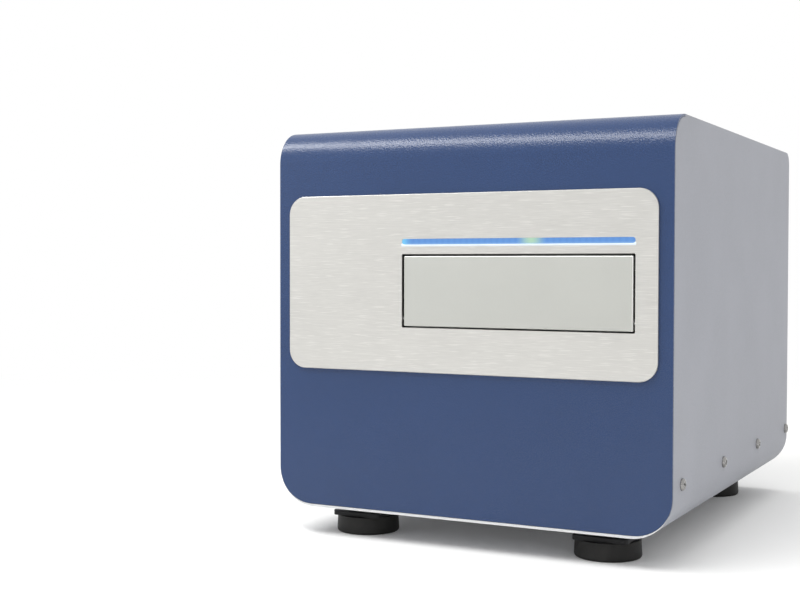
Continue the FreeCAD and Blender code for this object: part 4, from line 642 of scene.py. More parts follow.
def clusters(waiting: set, around: Callable[[object], Iterable]) -> Iterator[list]:
    """Split items into groups that hang together.

    Args:
        waiting: The items, used up on the way.
        around: Gives an item's neighbours.

    Yields:
        Each group.
    """
    while waiting:
        queue, group = [waiting.pop()], []
        while queue:
            item = queue.pop()
            group.append(item)
            for other in around(item):
                if other in waiting:
                    waiting.remove(other)
                    queue.append(other)
        yield group


def islands(node: str) -> list[Box]:
    """Find the boxes of a node's separate solids.

    Args:
        node: The node's name.

    Returns:
        The lowest and highest corner of each, in metres.
    """
    mesh = merged(node)
    boxes = []
    for group in clusters(set(mesh.verts), lambda vertex: [edge.other_vert(vertex)
                                                           for edge in vertex.link_edges]):
        parts = list(zip(*(vertex.co for vertex in group)))
        boxes.append((Vector([min(part) for part in parts]), Vector([max(part) for part in parts])))
    mesh.free()
    return sorted(boxes, key=lambda box: tuple(box[0]))


def linked(name: str, data: bpy.types.ID) -> bpy.types.Object:
    """Put new data into the scene as an object.

    Args:
        name: The object's name.
        data: Its mesh, lamp or camera.

    Returns:
        The object.
    """
    made = bpy.data.objects.new(name, data)
    bpy.context.collection.objects.link(made)
    return made


def evaluated(obj: bpy.types.Object, name: str) -> bpy.types.Object:
    """Apply an object's modifiers into a new object, and delete the old one.

    Args:
        obj: The object with modifiers.
        name: The new object's name.

    Returns:
        The new object.
    """
    graph = bpy.context.evaluated_depsgraph_get()
    graph.update()
    mesh = bpy.data.meshes.new_from_object(obj.evaluated_get(graph), preserve_all_data_layers=True,
                                           depsgraph=graph)
    bpy.data.objects.remove(obj)
    mesh.name = name
    return linked(name, mesh)


def rounded(obj: bpy.types.Object, name: str, edge: float, segments: int,
            angle: float) -> bpy.types.Object:
    """Round off an object's sharp edges.

    Args:
        obj: The object.
        name: The new object's name.
        edge: How far the edges are rounded, in metres.
        segments: How many faces round an edge has.
        angle: Edges sharper than this are rounded, in degrees.

    Returns:
        The new object.
    """
    bevel = obj.modifiers.new("edges", "BEVEL")
    bevel.width, bevel.segments = edge, segments
    bevel.limit_method, bevel.angle_limit = "ANGLE", math.radians(angle)
    bevel.harden_normals = True
    return evaluated(obj, name)


def settle(obj: bpy.types.Object, body: str, slot: Palette, *nodes: str) -> bpy.types.Object:
    """Hand a finished piece to the frame.

    Args:
        obj: The piece, at the origin.
        body: The body that it rides on.
        slot: The record's material slot; not used.
        *nodes: The nodes that it stands for.

    Returns:
        The piece.
    """
    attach(obj, body)
    if nodes:
        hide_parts(*nodes)
    LOG.info("%s: %d faces on %s", obj.name, len(obj.data.polygons), body)
    return obj


def within(low: Point, high: Point) -> Test:
    """Make a test of whether a face's centre lies in a box, whose corners are in millimetres."""
    return lambda centre, normal: all(low[axis] * MM < centre[axis] < high[axis] * MM
                                      for axis in range(3))


def beyond(axis: int, low: float, high: float) -> Test:
    """Make a test of whether a face's centre lies outside a span of one axis, in metres."""
    return lambda centre, normal: not low < centre[axis] < high


@dataclass
class Refined:
    """A copy of a node's mesh whose sharp edges are rounded off.

    Attributes:
        node: The node that it stands for.
        edge: How far the edges are rounded, in metres.
        segments: How many faces round an edge has.
        paints: Other finishes, each with a test of a face's centre and normal.
        angle: Edges sharper than this are rounded, in degrees.
        flat: Faces closer than this to one plane become one, in degrees.
    """

    node: str
    edge: float = 0.3 * MM
    segments: int = 2
    paints: Sequence[tuple[Palette, Test]] = ()
    angle: float = 32.0
    flat: float = 0.3

    @property
    def finish(self) -> Palette:
        """The finish of the node's slot."""
        return Palette[SLOTS[self.node]]

    def plain(self) -> bpy.types.Object:
        """Copy the node with smooth faces, as large as they go.

        Returns:
            The copy.
        """
        source = merged(self.node)
        bmesh.ops.dissolve_limit(source, angle_limit=math.radians(self.flat), verts=source.verts,
                                 edges=source.edges)
        for face in source.faces:
            face.smooth = True
            face.material_index = 0
        mesh = bpy.data.meshes.new(f"{self.node}_plain")
        source.to_mesh(mesh)
        source.free()
        for layer in ("custom_normal", "sharp_edge", "sharp_face"):
            if layer in mesh.attributes:
                mesh.attributes.remove(mesh.attributes[layer])
        return linked(mesh.name, mesh)

    def make(self) -> bpy.types.Object:
        """Make the piece.

        Returns:
            The piece, riding on its body in place of the node.
        """
        made = rounded(self.plain(), f"{self.node}_fine", self.edge, self.segments, self.angle)
        mesh = made.data
        mesh.materials.clear()
        for finish in (self.finish, *(paint for paint, _ in self.paints)):
            mesh.materials.append(finish.material)
        for face in mesh.polygons:
            face.material_index = 0
            for index, (_, fits) in enumerate(self.paints):
                if fits(face.center, face.normal):
                    face.material_index = index + 1
        return settle(made, BODIES[self.node], self.finish, self.node)


class Form:
    """Gathers the parts of one mesh, in metres."""

    def __init__(self) -> None:
        """Start without any part."""
        self.mesh = bmesh.new()

    def surface(self, rows: Sequence[Sequence[Point]], finish: int = 0, loop: bool = False) -> None:
        """Add a surface through closed rows of points, filled at both ends.

        Args:
            rows: The points, each row as long as the others.
            finish: The place of its finish.
            loop: Whether the last row joins the first, so that there are no ends.
        """
        verts = [[self.mesh.verts.new(point) for point in row] for row in rows]
        faces = []
        for lower, upper in zip(verts, verts[1:] + (verts[:1] if loop else [])):
            for index in range(len(lower)):
                after = (index + 1) % len(lower)
                faces.append(self.mesh.faces.new((lower[index], lower[after], upper[after],
                                                  upper[index])))
        if not loop:
            faces += [self.mesh.faces.new(verts[0][::-1]), self.mesh.faces.new(verts[-1])]
        for face in faces:
            face.material_index = finish
            face.smooth = True

    def turned(self, profile: Sequence[Pair], place: Matrix, steps: int, finish: int = 0,
               shape: Optional[Shape] = None, loop: bool = False) -> None:
        """Add a solid turned about a line.

        Args:
            profile: Radius and height pairs from one end to the other.
            place: Where its Z axis lies.
            steps: How many flats it has.
            finish: The place of its finish.
            shape: Changes the radius and height at an angle.
            loop: Whether the last pair joins the first, as round a bore.
        """
        rows = []
        for radius, height in profile:
            row = []
            for index in range(steps):
                angle = math.tau * index / steps
                reach, rise = shape(radius, height, angle) if shape else (radius, height)
                row.append(place @ Vector((reach * math.cos(angle), reach * math.sin(angle), rise)))
            rows.append(row)
        self.surface(rows, finish, loop)

    def block(self, low: Point, high: Point) -> None:
        """Add a box between its lowest and its highest corner."""
        (x0, y0, z0), (x1, y1, z1) = low, high
        self.surface([[(x0, y0, z), (x1, y0, z), (x1, y1, z), (x0, y1, z)] for z in (z0, z1)])

    def object(self, name: str, finishes: Sequence[Palette], edge: float = 0.0,
               angle: float = SHARP) -> bpy.types.Object:
        """Turn the parts into an object.

        Args:
            name: Its name.
            finishes: Its finishes.
            edge: How far its sharp edges are rounded.
            angle: Edges sharper than this stay sharp or are rounded, in degrees.

        Returns:
            The object.
        """
        bmesh.ops.recalc_face_normals(self.mesh, faces=self.mesh.faces)
        mesh = bpy.data.meshes.new(name)
        self.mesh.to_mesh(mesh)
        self.mesh.free()
        for finish in finishes:
            mesh.materials.append(finish.material)
        made = linked(name, mesh)
        if edge:
            return rounded(made, f"{name}_soft", edge, 2, angle)
        mesh.set_sharp_from_angle(angle=math.radians(angle))
        return made

    def replace(self, node: str, *extra: Palette, angle: float = SHARP) -> None:
        """Hand the parts in, in place of a node.

        Args:
            node: The node, whose slot names the first finish.
            *extra: More finishes.
            angle: Edges sharper than this stay sharp, in degrees.
        """
        slot = Palette[SLOTS[node]]
        made = self.object(f"{node}_fine", (slot, *extra), angle=angle)
        settle(made, BODIES[node], slot, node)


class Setter(Graph):
    """A Geometry Nodes group that sets one piece at every point of its host."""

    def __init__(self) -> None:
        """Build the group."""
        super().__init__(bpy.data.node_groups.new("set_pieces", "GeometryNodeTree"))
        kinds = {"Host": "Geometry", "Piece": "Object", "Spin": "Float", "Seed": "Int",
                 "Finish": "Material"}
        for name, kind in kinds.items():
            self.tree.interface.new_socket(name, in_out="INPUT", socket_type=f"NodeSocket{kind}")
        self.tree.interface.new_socket("Pieces", in_out="OUTPUT", socket_type="NodeSocketGeometry")
        host, piece, spin, seed, finish = [self.node("NodeGroupInput", output=name)
                                           for name in kinds]
        facing = self.node("GeometryNodeInputNamedAttribute", {"data_type": "FLOAT_VECTOR"},
                           {"Name": "facing"}, "Attribute")
        upright = self.node("FunctionNodeAlignRotationToVector", {"axis": "Z"}, {"Vector": facing})
        turn = self.node("FunctionNodeRandomValue", {"data_type": "FLOAT"},
                         {"Max": spin, "Seed": seed}, "Value")
        own = self.node("FunctionNodeAxisAngleToRotation", {}, {"Axis": (0, 0, 1), "Angle": turn})
        rotation = self.node("FunctionNodeRotateRotation", {"rotation_space": "LOCAL"},
                             {"Rotation": upright, "Rotate By": own})
        shape = self.node("GeometryNodeObjectInfo", {}, {"Object": piece}, "Geometry")
        placed = self.node("GeometryNodeInstanceOnPoints", {},
                           {"Points": host, "Instance": shape, "Rotation": rotation})
        real = self.node("GeometryNodeRealizeInstances", {}, {"Geometry": placed})
        painted = self.node("GeometryNodeSetMaterial", {}, {"Geometry": real, "Material": finish})
        self.node("NodeGroupOutput", {}, {"Pieces": painted})

    def set(self, name: str, template: bpy.types.Object, places: Sequence[tuple[Point, Point]],
            finish: Palette, seed: int, *nodes: str) -> None:
        """Set a template at every place with a turn of its own, delete it and hand them all in.

        Args:
            name: The new object's name.
            template: The piece, which stands along Z at the origin.
            places: Points, each with the direction that the piece faces.
            finish: The finish of all of them.
            seed: The seed of the turns.
            *nodes: The nodes that they stand for.
        """
        mesh = bpy.data.meshes.new(f"{name}_host")
        mesh.from_pydata([tuple(point) for point, _ in places], [], [])
        layer = mesh.attributes.new("facing", "FLOAT_VECTOR", "POINT")
        for item, (_, facing) in zip(layer.data, places):
            item.vector = facing
        host = linked(mesh.name, mesh)
        modifier = host.modifiers.new("set", "NODES")
        modifier.node_group = self.tree
        sockets = {item.name: item.identifier for item in self.tree.interface.items_tree
                   if item.in_out == "INPUT"}
        values = {"Piece": template, "Spin": math.tau, "Seed": seed, "Finish": finish.material}
        for key, value in values.items():
            modifier[sockets[key]] = value
        made = evaluated(host, name)
        bpy.data.objects.remove(template)
        settle(made, ROOT, Palette.stainless, *nodes)


@dataclass
class PanScrew:
    """A pan-head screw with a cross recess and a rolled thread.

    Attributes:
        head: The head's radius.
        rise: The head's height.
        shank: The thread's radius.
        length: The thread's length under the head.
        reach: Half the cross's width across.
        half_slot: Half the width of one arm of the cross.
        depth: How deep the cross is.
        pitch: The thread's pitch.
        rings: How many rings of faces the head has.
        steps: How many faces a ring has.
        sides: How many faces the thread has round it.
        crown: How much the head sinks from its middle to its edge, as shares of its height: over
            all of it, and over its rounded edge.
        corner: How wide that edge is, as a share of the radius.
        wall: How wide the slope of the cross's sides is.
        ramp: How long the slope of its ends is.
        slope: How steep the sides of the thread are.
        floor: The width and length of the black bars painted as shade in the recess, as shares of
            the cross's.
    """

    head: float = 4.7 * MM
    rise: float = 2.7 * MM
    shank: float = 2.0 * MM
    length: float = 8.0 * MM
    reach: float = 2.8 * MM
    half_slot: float = 0.74 * MM
    depth: float = 2.0 * MM
    pitch: float = 0.7 * MM
    rings: int = 22
    steps: int = 72
    sides: int = 20
    crown: Pair = (0.16, 0.55)
    corner: float = 0.28
    wall: float = 0.16 * MM
    ramp: float = 0.5 * MM
    slope: float = 0.44
    floor: Pair = (0.97, 0.93)

    def dome(self, radius: float) -> float:
        """Work out the head's height.

        Args:
            radius: The radius at which it is wanted.

        Returns:
            The height.
        """
        share = min(1.0, radius / self.head)
        side = max(0.0, share - 1.0 + self.corner) / self.corner
        return self.rise * (1.0 - self.crown[0] * share ** 2 - self.crown[1] * side ** 2.6)

    def carved(self, radius: float, height: float, angle: float) -> Pair:
        """Sink the cross into the head; see Form.turned."""
        def arm(side: float, way: float) -> float:
            """Tell how deep one arm of the cross is.

            Args:
                side: How far the point lies beside the arm's middle line.
                way: How far it lies along that.

            Returns:
                The depth as a share.
            """
            taper = 1.15 - 0.3 * abs(way) / self.reach
            across = (self.half_slot * taper - abs(side)) / self.wall
            end = (self.reach - abs(way)) / self.ramp
            return max(0.0, min(1.0, across)) * max(0.0, min(1.0, end))

        x, y = radius * math.cos(angle), radius * math.sin(angle)
        return radius, height - self.depth * max(arm(x, y), arm(y, x))

    def rolled(self, radius: float, height: float, angle: float) -> Pair:
        """Roll the thread into the shank; see Form.turned."""
        phase = (height / self.pitch + angle / math.tau) % 1.0
        return radius - self.slope * self.pitch * abs(phase - 0.5), height

    def recess(self, name: str) -> bpy.types.Object:
        """Make painted shade for the recess: two crossed black bars in its floor.

        Args:
            name: Its name.

        Returns:
            The bars, a template that isn't handed in itself.
        """
        form = Form()
        half, reach = self.half_slot * self.floor[0], self.reach * self.floor[1]
        low, high = self.rise - self.depth - 0.3 * MM, self.rise - self.depth * 0.3
        form.block((-reach, -half, low), (reach, half, high))
        form.block((-half, -reach, low + SLACK), (half, reach, high + SLACK))
        return form.object(name, (Palette.black_paint,))

    def make(self, name: str) -> bpy.types.Object:
        """Make one screw whose head stands along Z from the plane z = 0.

        Args:
            name: Its name.

        Returns:
            The screw, a template that isn't handed in itself.
        """
        form, place = Form(), Matrix.Identity(4)
        radii = [self.head * ring / self.rings for ring in range(self.rings, 0, -1)]
        head = [(self.head, 0.0)] + [(radius, self.dome(radius)) for radius in radii]
        form.turned(head, place, self.steps, shape=self.carved)
        levels = max(1, int(self.length / self.pitch)) * 4
        thread = [(self.shank, -self.length * level / levels) for level in range(levels + 1)]
        form.turned(thread, place, self.sides, shape=self.rolled)
        return form.object(name, (Palette.stainless,), angle=40)


@dataclass
class Case:
    """The sheet-metal case with its screws and feet.

    Attributes:
        setter: Sets the screws.
        sheet_edge: How far the sheets' edges are rounded.
        strip_depth: How deep the wrap's front edge is, whose paler paint is partly a painted
            highlight.
        strip_facing: How far its faces turn to the front at least, as a normal's share.
        side_screw: The pan heads along both sides.
        side_seed: The seed of their turns.
        foot_steps: How many flats a foot has.
        foot_bore: The radius of the screw's hole.
        foot_recess: The radius and depth of the recess for the screw's head.
        foot_top: The foot's upper side, as shares of its radius and millimetres from its top.
        foot_waist: Its radius at half its height, as a share.
        foot_side: Its lower side, as shares and millimetres from the ground.
        tread: The middles of the tread's grooves, as shares of the radius.
        tread_depth: How deep they are.
    """

    setter: Setter
    sheet_edge: float = 0.3 * MM
    strip_depth: float = 2.0 * MM
    strip_facing: float = 0.3
    side_screw: PanScrew = field(default_factory=PanScrew)
    side_seed: int = 7
    foot_steps: int = 72
    foot_bore: float = 2.75 * MM
    foot_recess: Pair = (8.0 * MM, 8.0 * MM)
    foot_top: Sequence[Pair] = ((0.955, 0.0), (0.972, -0.25), (0.978, -0.8))
    foot_waist: float = 0.99
    foot_side: Sequence[Pair] = ((1.0, 2.4), (0.995, 1.6), (0.98, 0.7), (0.955, 0.15), (0.93, 0.0))
    tread: Sequence[float] = (0.78, 0.62, 0.46)
    tread_depth: float = 0.6 * MM

    def make(self) -> None:
        """Make every piece of the case."""
        Refined("upper_cover", self.sheet_edge, 3).make()
        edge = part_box("lower_case")[0].y + self.strip_depth
        # Partly painted highlight: the wrap's front-facing edge gets the paler grey.
        Refined("lower_case", self.sheet_edge, 2, [
            (Palette.strip_paint,
             lambda centre, normal: -normal.y > self.strip_facing and centre.y < edge)
        ]).make()
        self.side_screws()
        self.feet()

    def side_screws(self) -> None:
        """Set the pan heads along both sides, with black bars in their recesses as painted shade.
        """
        places = []
        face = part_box("lower_case")[1].x
        for low, high in islands("side_screws"):
            side, middle = 1 if high.x > 0 else -1, (low + high) / 2
            places.append(((side * face, middle.y, middle.z), (side, 0, 0)))
        self.setter.set("side_screws_fine", self.side_screw.make("side_screw_template"), places,
                        Palette.stainless, self.side_seed, "side_screws")
        # Painted shade: black bars set into each cross recess to darken it.
        self.setter.set("side_screw_recesses", self.side_screw.recess("side_recess_template"),
                        places, Palette.black_paint, self.side_seed)

    def feet(self) -> None:
        """Turn the rubber feet, with a moulded rib round the side and a ribbed tread."""
        form = Form()
        recess, depth = self.foot_recess
        for low, high in islands("feet"):
            middle, top, wide = (low + high) / 2, high.z - low.z, (high.x - low.x) / 2
            profile = [(self.foot_bore, top)]
            profile += [(wide * share, top + rise * MM) for share, rise in self.foot_top]
            profile += [(wide * self.foot_waist, top * 0.5)]
            profile += [(wide * share, rise * MM) for share, rise in self.foot_side]
            for share in self.tread:
                profile += [(wide * (share + step), self.tread_depth * (abs(step) < 0.025))
                            for step in (0.03, 0.02, -0.02, -0.03)]
            profile += [(recess + 0.4 * MM, 0.0), (recess, 0.4 * MM), (recess, depth),
                        (self.foot_bore, depth)]
            place = Matrix.Translation((middle.x, middle.y, low.z))
            form.turned(profile, place, self.foot_steps, loop=True)
        form.replace("feet")


@dataclass
class Front:
    """The brushed plate, the lit bar and the door in it.

    Attributes:
        plate_edge: How far the plate's edges are rounded.
        door_edge: How far the door's edges are rounded.
        edge_facing: How far their faces turn to the front at least and at most, as a normal's
            shares.
        edge_side: How far those that get a painted highlight turn up or to the right at least.
        seat_height: How high the black hinge seats stand above the port frame's foot.
        seat_width: How wide they are.
        frame_depth: How far back the port frame's front part reaches, which is painted grey as
            painted light in the door's gaps.
        seal_drop: How far the felt strip lies below the port frame's top.
        seal_height: The strip's height.
        seal_gap: How far behind the door it begins, and where it ends.
        seal_side: How far it ends before the door's sides.
    """

    plate_edge: float = 0.45 * MM
    door_edge: float = 0.5 * MM
    edge_facing: Pair = (0.25, 0.97)
    edge_side: float = 0.15
    seat_height: float = 24 * MM
    seat_width: float = 20 * MM
    frame_depth: float = 35 * MM
    seal_drop: float = 4.1 * MM
    seal_height: float = 3.2 * MM
    seal_gap: Pair = (0.4 * MM, 2.2 * MM)
    seal_side: float = 2 * MM

    def make(self) -> None:
        """Make every piece of the front."""
        Refined("front_plate", self.plate_edge, 3).make()
        least, most = self.edge_facing
        # Painted highlight: the door's rounded edges that face up or right get a near-white paint.
        Refined("door_leaf", self.door_edge, 3, [
            (Palette.silver_edge, lambda centre, normal: least < -normal.y < most
             and max(normal.x, normal.z) > self.edge_side)]).make()
        low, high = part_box("port_frame")
        seat, back = low.z + self.seat_height, low.y + self.frame_depth
        left, right = low.x + self.seat_width, high.x - self.seat_width
        # Painted light: the port frame's front, seen through the gaps round the door, is painted
        # grey instead of black, save the hinge seats.
        Refined("port_frame", paints=[
            (Palette.grey_plastic, lambda centre, normal: centre.y < back
             and (centre.z > seat or left < centre.x < right))]).make()
        Refined("light_lens").make()
        self.seal()

    def seal(self) -> None:
        """Hang the felt strip that keeps light out over the closed door."""
        low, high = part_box("door_leaf")
        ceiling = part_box("port_frame")[1].z - self.seal_drop
        near, far = self.seal_gap
        form = Form()
        form.block((low.x + self.seal_side, high.y + near, ceiling - self.seal_height),
                   (high.x - self.seal_side, high.y + far, ceiling))
        settle(form.object("door_seal", (Palette.seal_felt,), 0.3 * MM), ROOT,
               Palette.black_rubber)


@dataclass
class Rear:
    """The back: its panel, screws, fan and sockets.

    Attributes:
        setter: Sets the screws.
        screw: The pan heads along the cover's rear lip.
        seed: The seed of their turns.
        fan_heads: Where the heads of the fan's screws begin and end, from the panel's back.
        flange: How far the sockets' flanges stand out of the panel, in millimetres.
        inlet: The middle of the mains socket, in millimetres.
        pins: The places of its pins round that.
        pin_half: Half a pin's width and height.
        pin_span: Where the pins begin and end behind the flange.
        data: The middle of the data socket.
        tongue_half: Half the width and height of its tongue.
        tongue_span: Where the tongue begins and ends behind the flange.
    """

    setter: Setter
    screw: PanScrew = field(default_factory=lambda: PanScrew(
        head=3.2 * MM, rise=2.0 * MM, shank=1.5 * MM, length=6.0 * MM, reach=2.0 * MM,
        half_slot=0.5 * MM, depth=1.4 * MM, pitch=0.5 * MM))
    seed: int = 11
    fan_heads: Pair = (-1.2, 9.0)
    flange: float = 2.0
    inlet: Pair = (-110.0, 72.8)
    pins: Sequence[Pair] = ((-7.0, -1.0), (7.0, -1.0), (0.0, 3.0))
    pin_half: Pair = (1.1, 2.1)
    pin_span: Pair = (18.0, 4.9)
    data: Pair = (20.0, 86.0)
    tongue_half: Pair = (4.4, 3.9)
    tongue_span: Pair = (18.0, 1.5)

    def make(self) -> None:
        """Make every piece of the back."""
        Refined("rear_panel", 0.2 * MM, 1).make()
        self.screws()
        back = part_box("rear_panel")[1].y / MM
        heads = within((-200, back + self.fan_heads[0], 0), (200, back + self.fan_heads[1], 400))
        Refined("fan_frame", 0.4 * MM, 2, [(Palette.stainless, heads)]).make()
        Refined("fan_rotor").make()
        x, z = self.inlet
        Refined("power_inlet", paints=[
            (Palette.zinc_steel, self.insert((x + side, z + rise), self.pin_half, self.pin_span))
            for side, rise in self.pins]).make()
        Refined("power_rocker", 0.5 * MM, 3).make()
        Refined("usb_socket", 0.25 * MM, 2, [
            (Palette.white_plastic, self.insert(self.data, self.tongue_half, self.tongue_span))
        ]).make()

    def insert(self, middle: Pair, half: Pair, span: Pair) -> Test:
        """Make a test of whether a face belongs to a part inside a socket.

        Args:
            middle: The part's middle.
            half: Half its width and height.
            span: Where it begins and ends behind the flange.

        Returns:
            The test.
        """
        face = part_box("rear_panel")[1].y / MM + self.flange
        return within((middle[0] - half[0], face - span[0], middle[1] - half[1]),
                      (middle[0] + half[0], face - span[1], middle[1] + half[1]))

    def screws(self) -> None:
        """Set the pan heads along the cover's rear lip."""
        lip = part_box("upper_cover")[1].y
        middles = [(low + high) / 2 for low, high in islands("rear_screws")]
        places = [((middle.x, lip, middle.z), (0, 1, 0)) for middle in middles]
        self.setter.set("rear_screws_fine", self.screw.make("rear_screw_template"), places,
                        Palette.stainless, self.seed, "rear_screws")


@dataclass
class Board(Refined):
    """A circuit board whose parts are painted by how high they stand.

    Attributes:
        axis: The axis that its parts stand along.
        side: 1 where they stand towards the higher end, otherwise -1.
        kinds: The heights of its kinds of parts in millimetres, the tallest last, and finishes.
        skin: How far a part's faces lie above the board at least.
    """

    axis: int = 2
    side: int = 1
    kinds: Sequence[tuple[float, Palette]] = (
        (2.4, Palette.black_plastic), (9.0, Palette.white_plastic),
        (11.0, Palette.black_anodised), (12.0, Palette.aluminium_sheet))
    skin: float = 0.15 * MM

    def make(self) -> bpy.types.Object:
        """Make the board; see Refined."""
        made = super().make()
        for _, kind in self.kinds:
            made.data.materials.append(kind.material)
        low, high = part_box(self.node)
        end = (high if self.side > 0 else low)[self.axis]
        level = end - self.side * self.kinds[-1][0] * MM
        mesh = bmesh.new()
        mesh.from_mesh(made.data)
        parts = {face for face in mesh.faces
                 if (face.calc_center_median()[self.axis] - level) * self.side > self.skin}
        for group in clusters(parts, lambda face: [other for edge in face.edges
                                                   for other in edge.link_faces]):
            reach = max((vertex.co[self.axis] - level) * self.side
                        for face in group for vertex in face.verts) / MM
            nearest = min(range(len(self.kinds)), key=lambda i: abs(self.kinds[i][0] - reach))
            for face in group:
                face.material_index = 1 + nearest
        mesh.to_mesh(made.data)
        mesh.free()
        return made


@dataclass
class Objective:
    """The objective, with its knurled grip, colour ring and front lens.

    Attributes:
        barrel: The barrel's outline, radius and height pairs in millimetres from its foot up.
        nose: The outline of its nose, with heights from its top.
        ring: The outline of the colour ring.
        lens: The outline of the front lens, with heights from its top.
        grip: Where the knurling begins and ends.
        ridges: How many ridges it has.
        cut: How deep it is.
    """

    barrel: Sequence[Pair] = ((12.4, 0.0), (13.0, 0.5), (13.0, 18.9), (13.8, 19.1), (13.8, 19.5),
                              (13.75, 25.3), (13.8, 25.9), (13.0, 26.0), (13.0, 27.6), (12.7, 28.0))
    nose: Sequence[Pair] = ((8.2, -0.6), (7.9, 0.0), (6.6, 0.0), (6.2, -0.5))
    ring: Sequence[Pair] = ((13.06, 26.3), (13.06, 27.4))
    lens: Sequence[Pair] = ((6.3, -0.9), (5.4, -0.35), (3.0, -0.12), (0.4, -0.05))
    grip: Pair = (19.4 * MM, 25.4 * MM)
    ridges: int = 60
    cut: float = 0.35 * MM

    def knurled(self, radius: float, height: float, angle: float) -> Pair:
        """Cut the grip's ridges; see Form.turned."""
        gripped = self.grip[0] < height < self.grip[1]
        deep = gripped and (angle * self.ridges / math.tau) % 1.0 < 0.5
        return radius - (self.cut if deep else 0.0), height

    def make(self) -> None:
        """Make the objective."""
        low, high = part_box("objective")
        middle, tall = (low + high) / 2, high.z - low.z
        place = Matrix.Translation((middle.x, middle.y, low.z))
        form = Form()
        barrel = scaled(self.barrel) + scaled(self.nose, tall)
        form.turned(barrel, place, self.ridges * 2, 0, self.knurled)
        form.turned(scaled(self.ring), place, 72, 1)
        form.turned(scaled(self.lens, tall), place, 48, 2)
        form.replace("objective", Palette.amber_glass, Palette.lens_glass)


@dataclass
class Leadscrew:
    """A leadscrew with a rolled thread between plain ends.

    Attributes:
        node: The node that it stands for.
        radius: The thread's radius.
        pitch: The thread's pitch.
        axis: The axis that it lies along.
        plain: The length of its plain end.
        end: The plain end's radius.
        steps: How many flats it has.
        tip: How far before the screw's end the thread stops.
        bevel: How far its first end is bevelled.
        slope: How much thinner it is at its other end.
        cut: How deep the thread is, as a share of its radius.
        crest: How broad the thread's crest is and how steep its sides are.
        rings: How many rings of faces a turn of the thread has.
    """

    node: str
    radius: float
    pitch: float
    axis: int
    plain: float
    end: float
    steps: int = 24
    tip: float = 0.6 * MM
    bevel: float = 0.3 * MM
    slope: float = 0.5 * MM
    cut: float = 0.16
    crest: Pair = (1.6, 4.4)
    rings: int = 5

    def make(self) -> None:
        """Turn the screw."""
        low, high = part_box(self.node)
        length = high[self.axis] - low[self.axis]
        start = (low + high) / 2
        start[self.axis] = low[self.axis]
        place = Matrix.Translation(start)
        if self.axis == 0:
            place = place @ Matrix.Rotation(math.pi / 2, 4, "Y")
        last = length - self.tip
        profile = [(self.end - self.bevel, 0.0), (self.end, self.bevel),
                   (self.end, self.plain - 0.1 * MM)]
        level = self.plain
        while level < last:
            profile.append((self.radius, level))
            level += self.pitch / self.rings
        profile.append((self.radius - self.slope, length))

        def thread(radius: float, height: float, angle: float) -> Pair:
            """Roll the thread; see Form.turned."""
            if not self.plain <= height < last:
                return radius, height
            phase = (height / self.pitch - angle / math.tau) % 1.0
            ridge = min(1.0, max(0.0, self.crest[0] - abs(phase - 0.5) * self.crest[1]))
            return radius - self.cut * self.radius * (1.0 - ridge), height

        form = Form()
        form.turned(profile, place, self.steps, 0, thread)
        form.replace(self.node, angle=50)


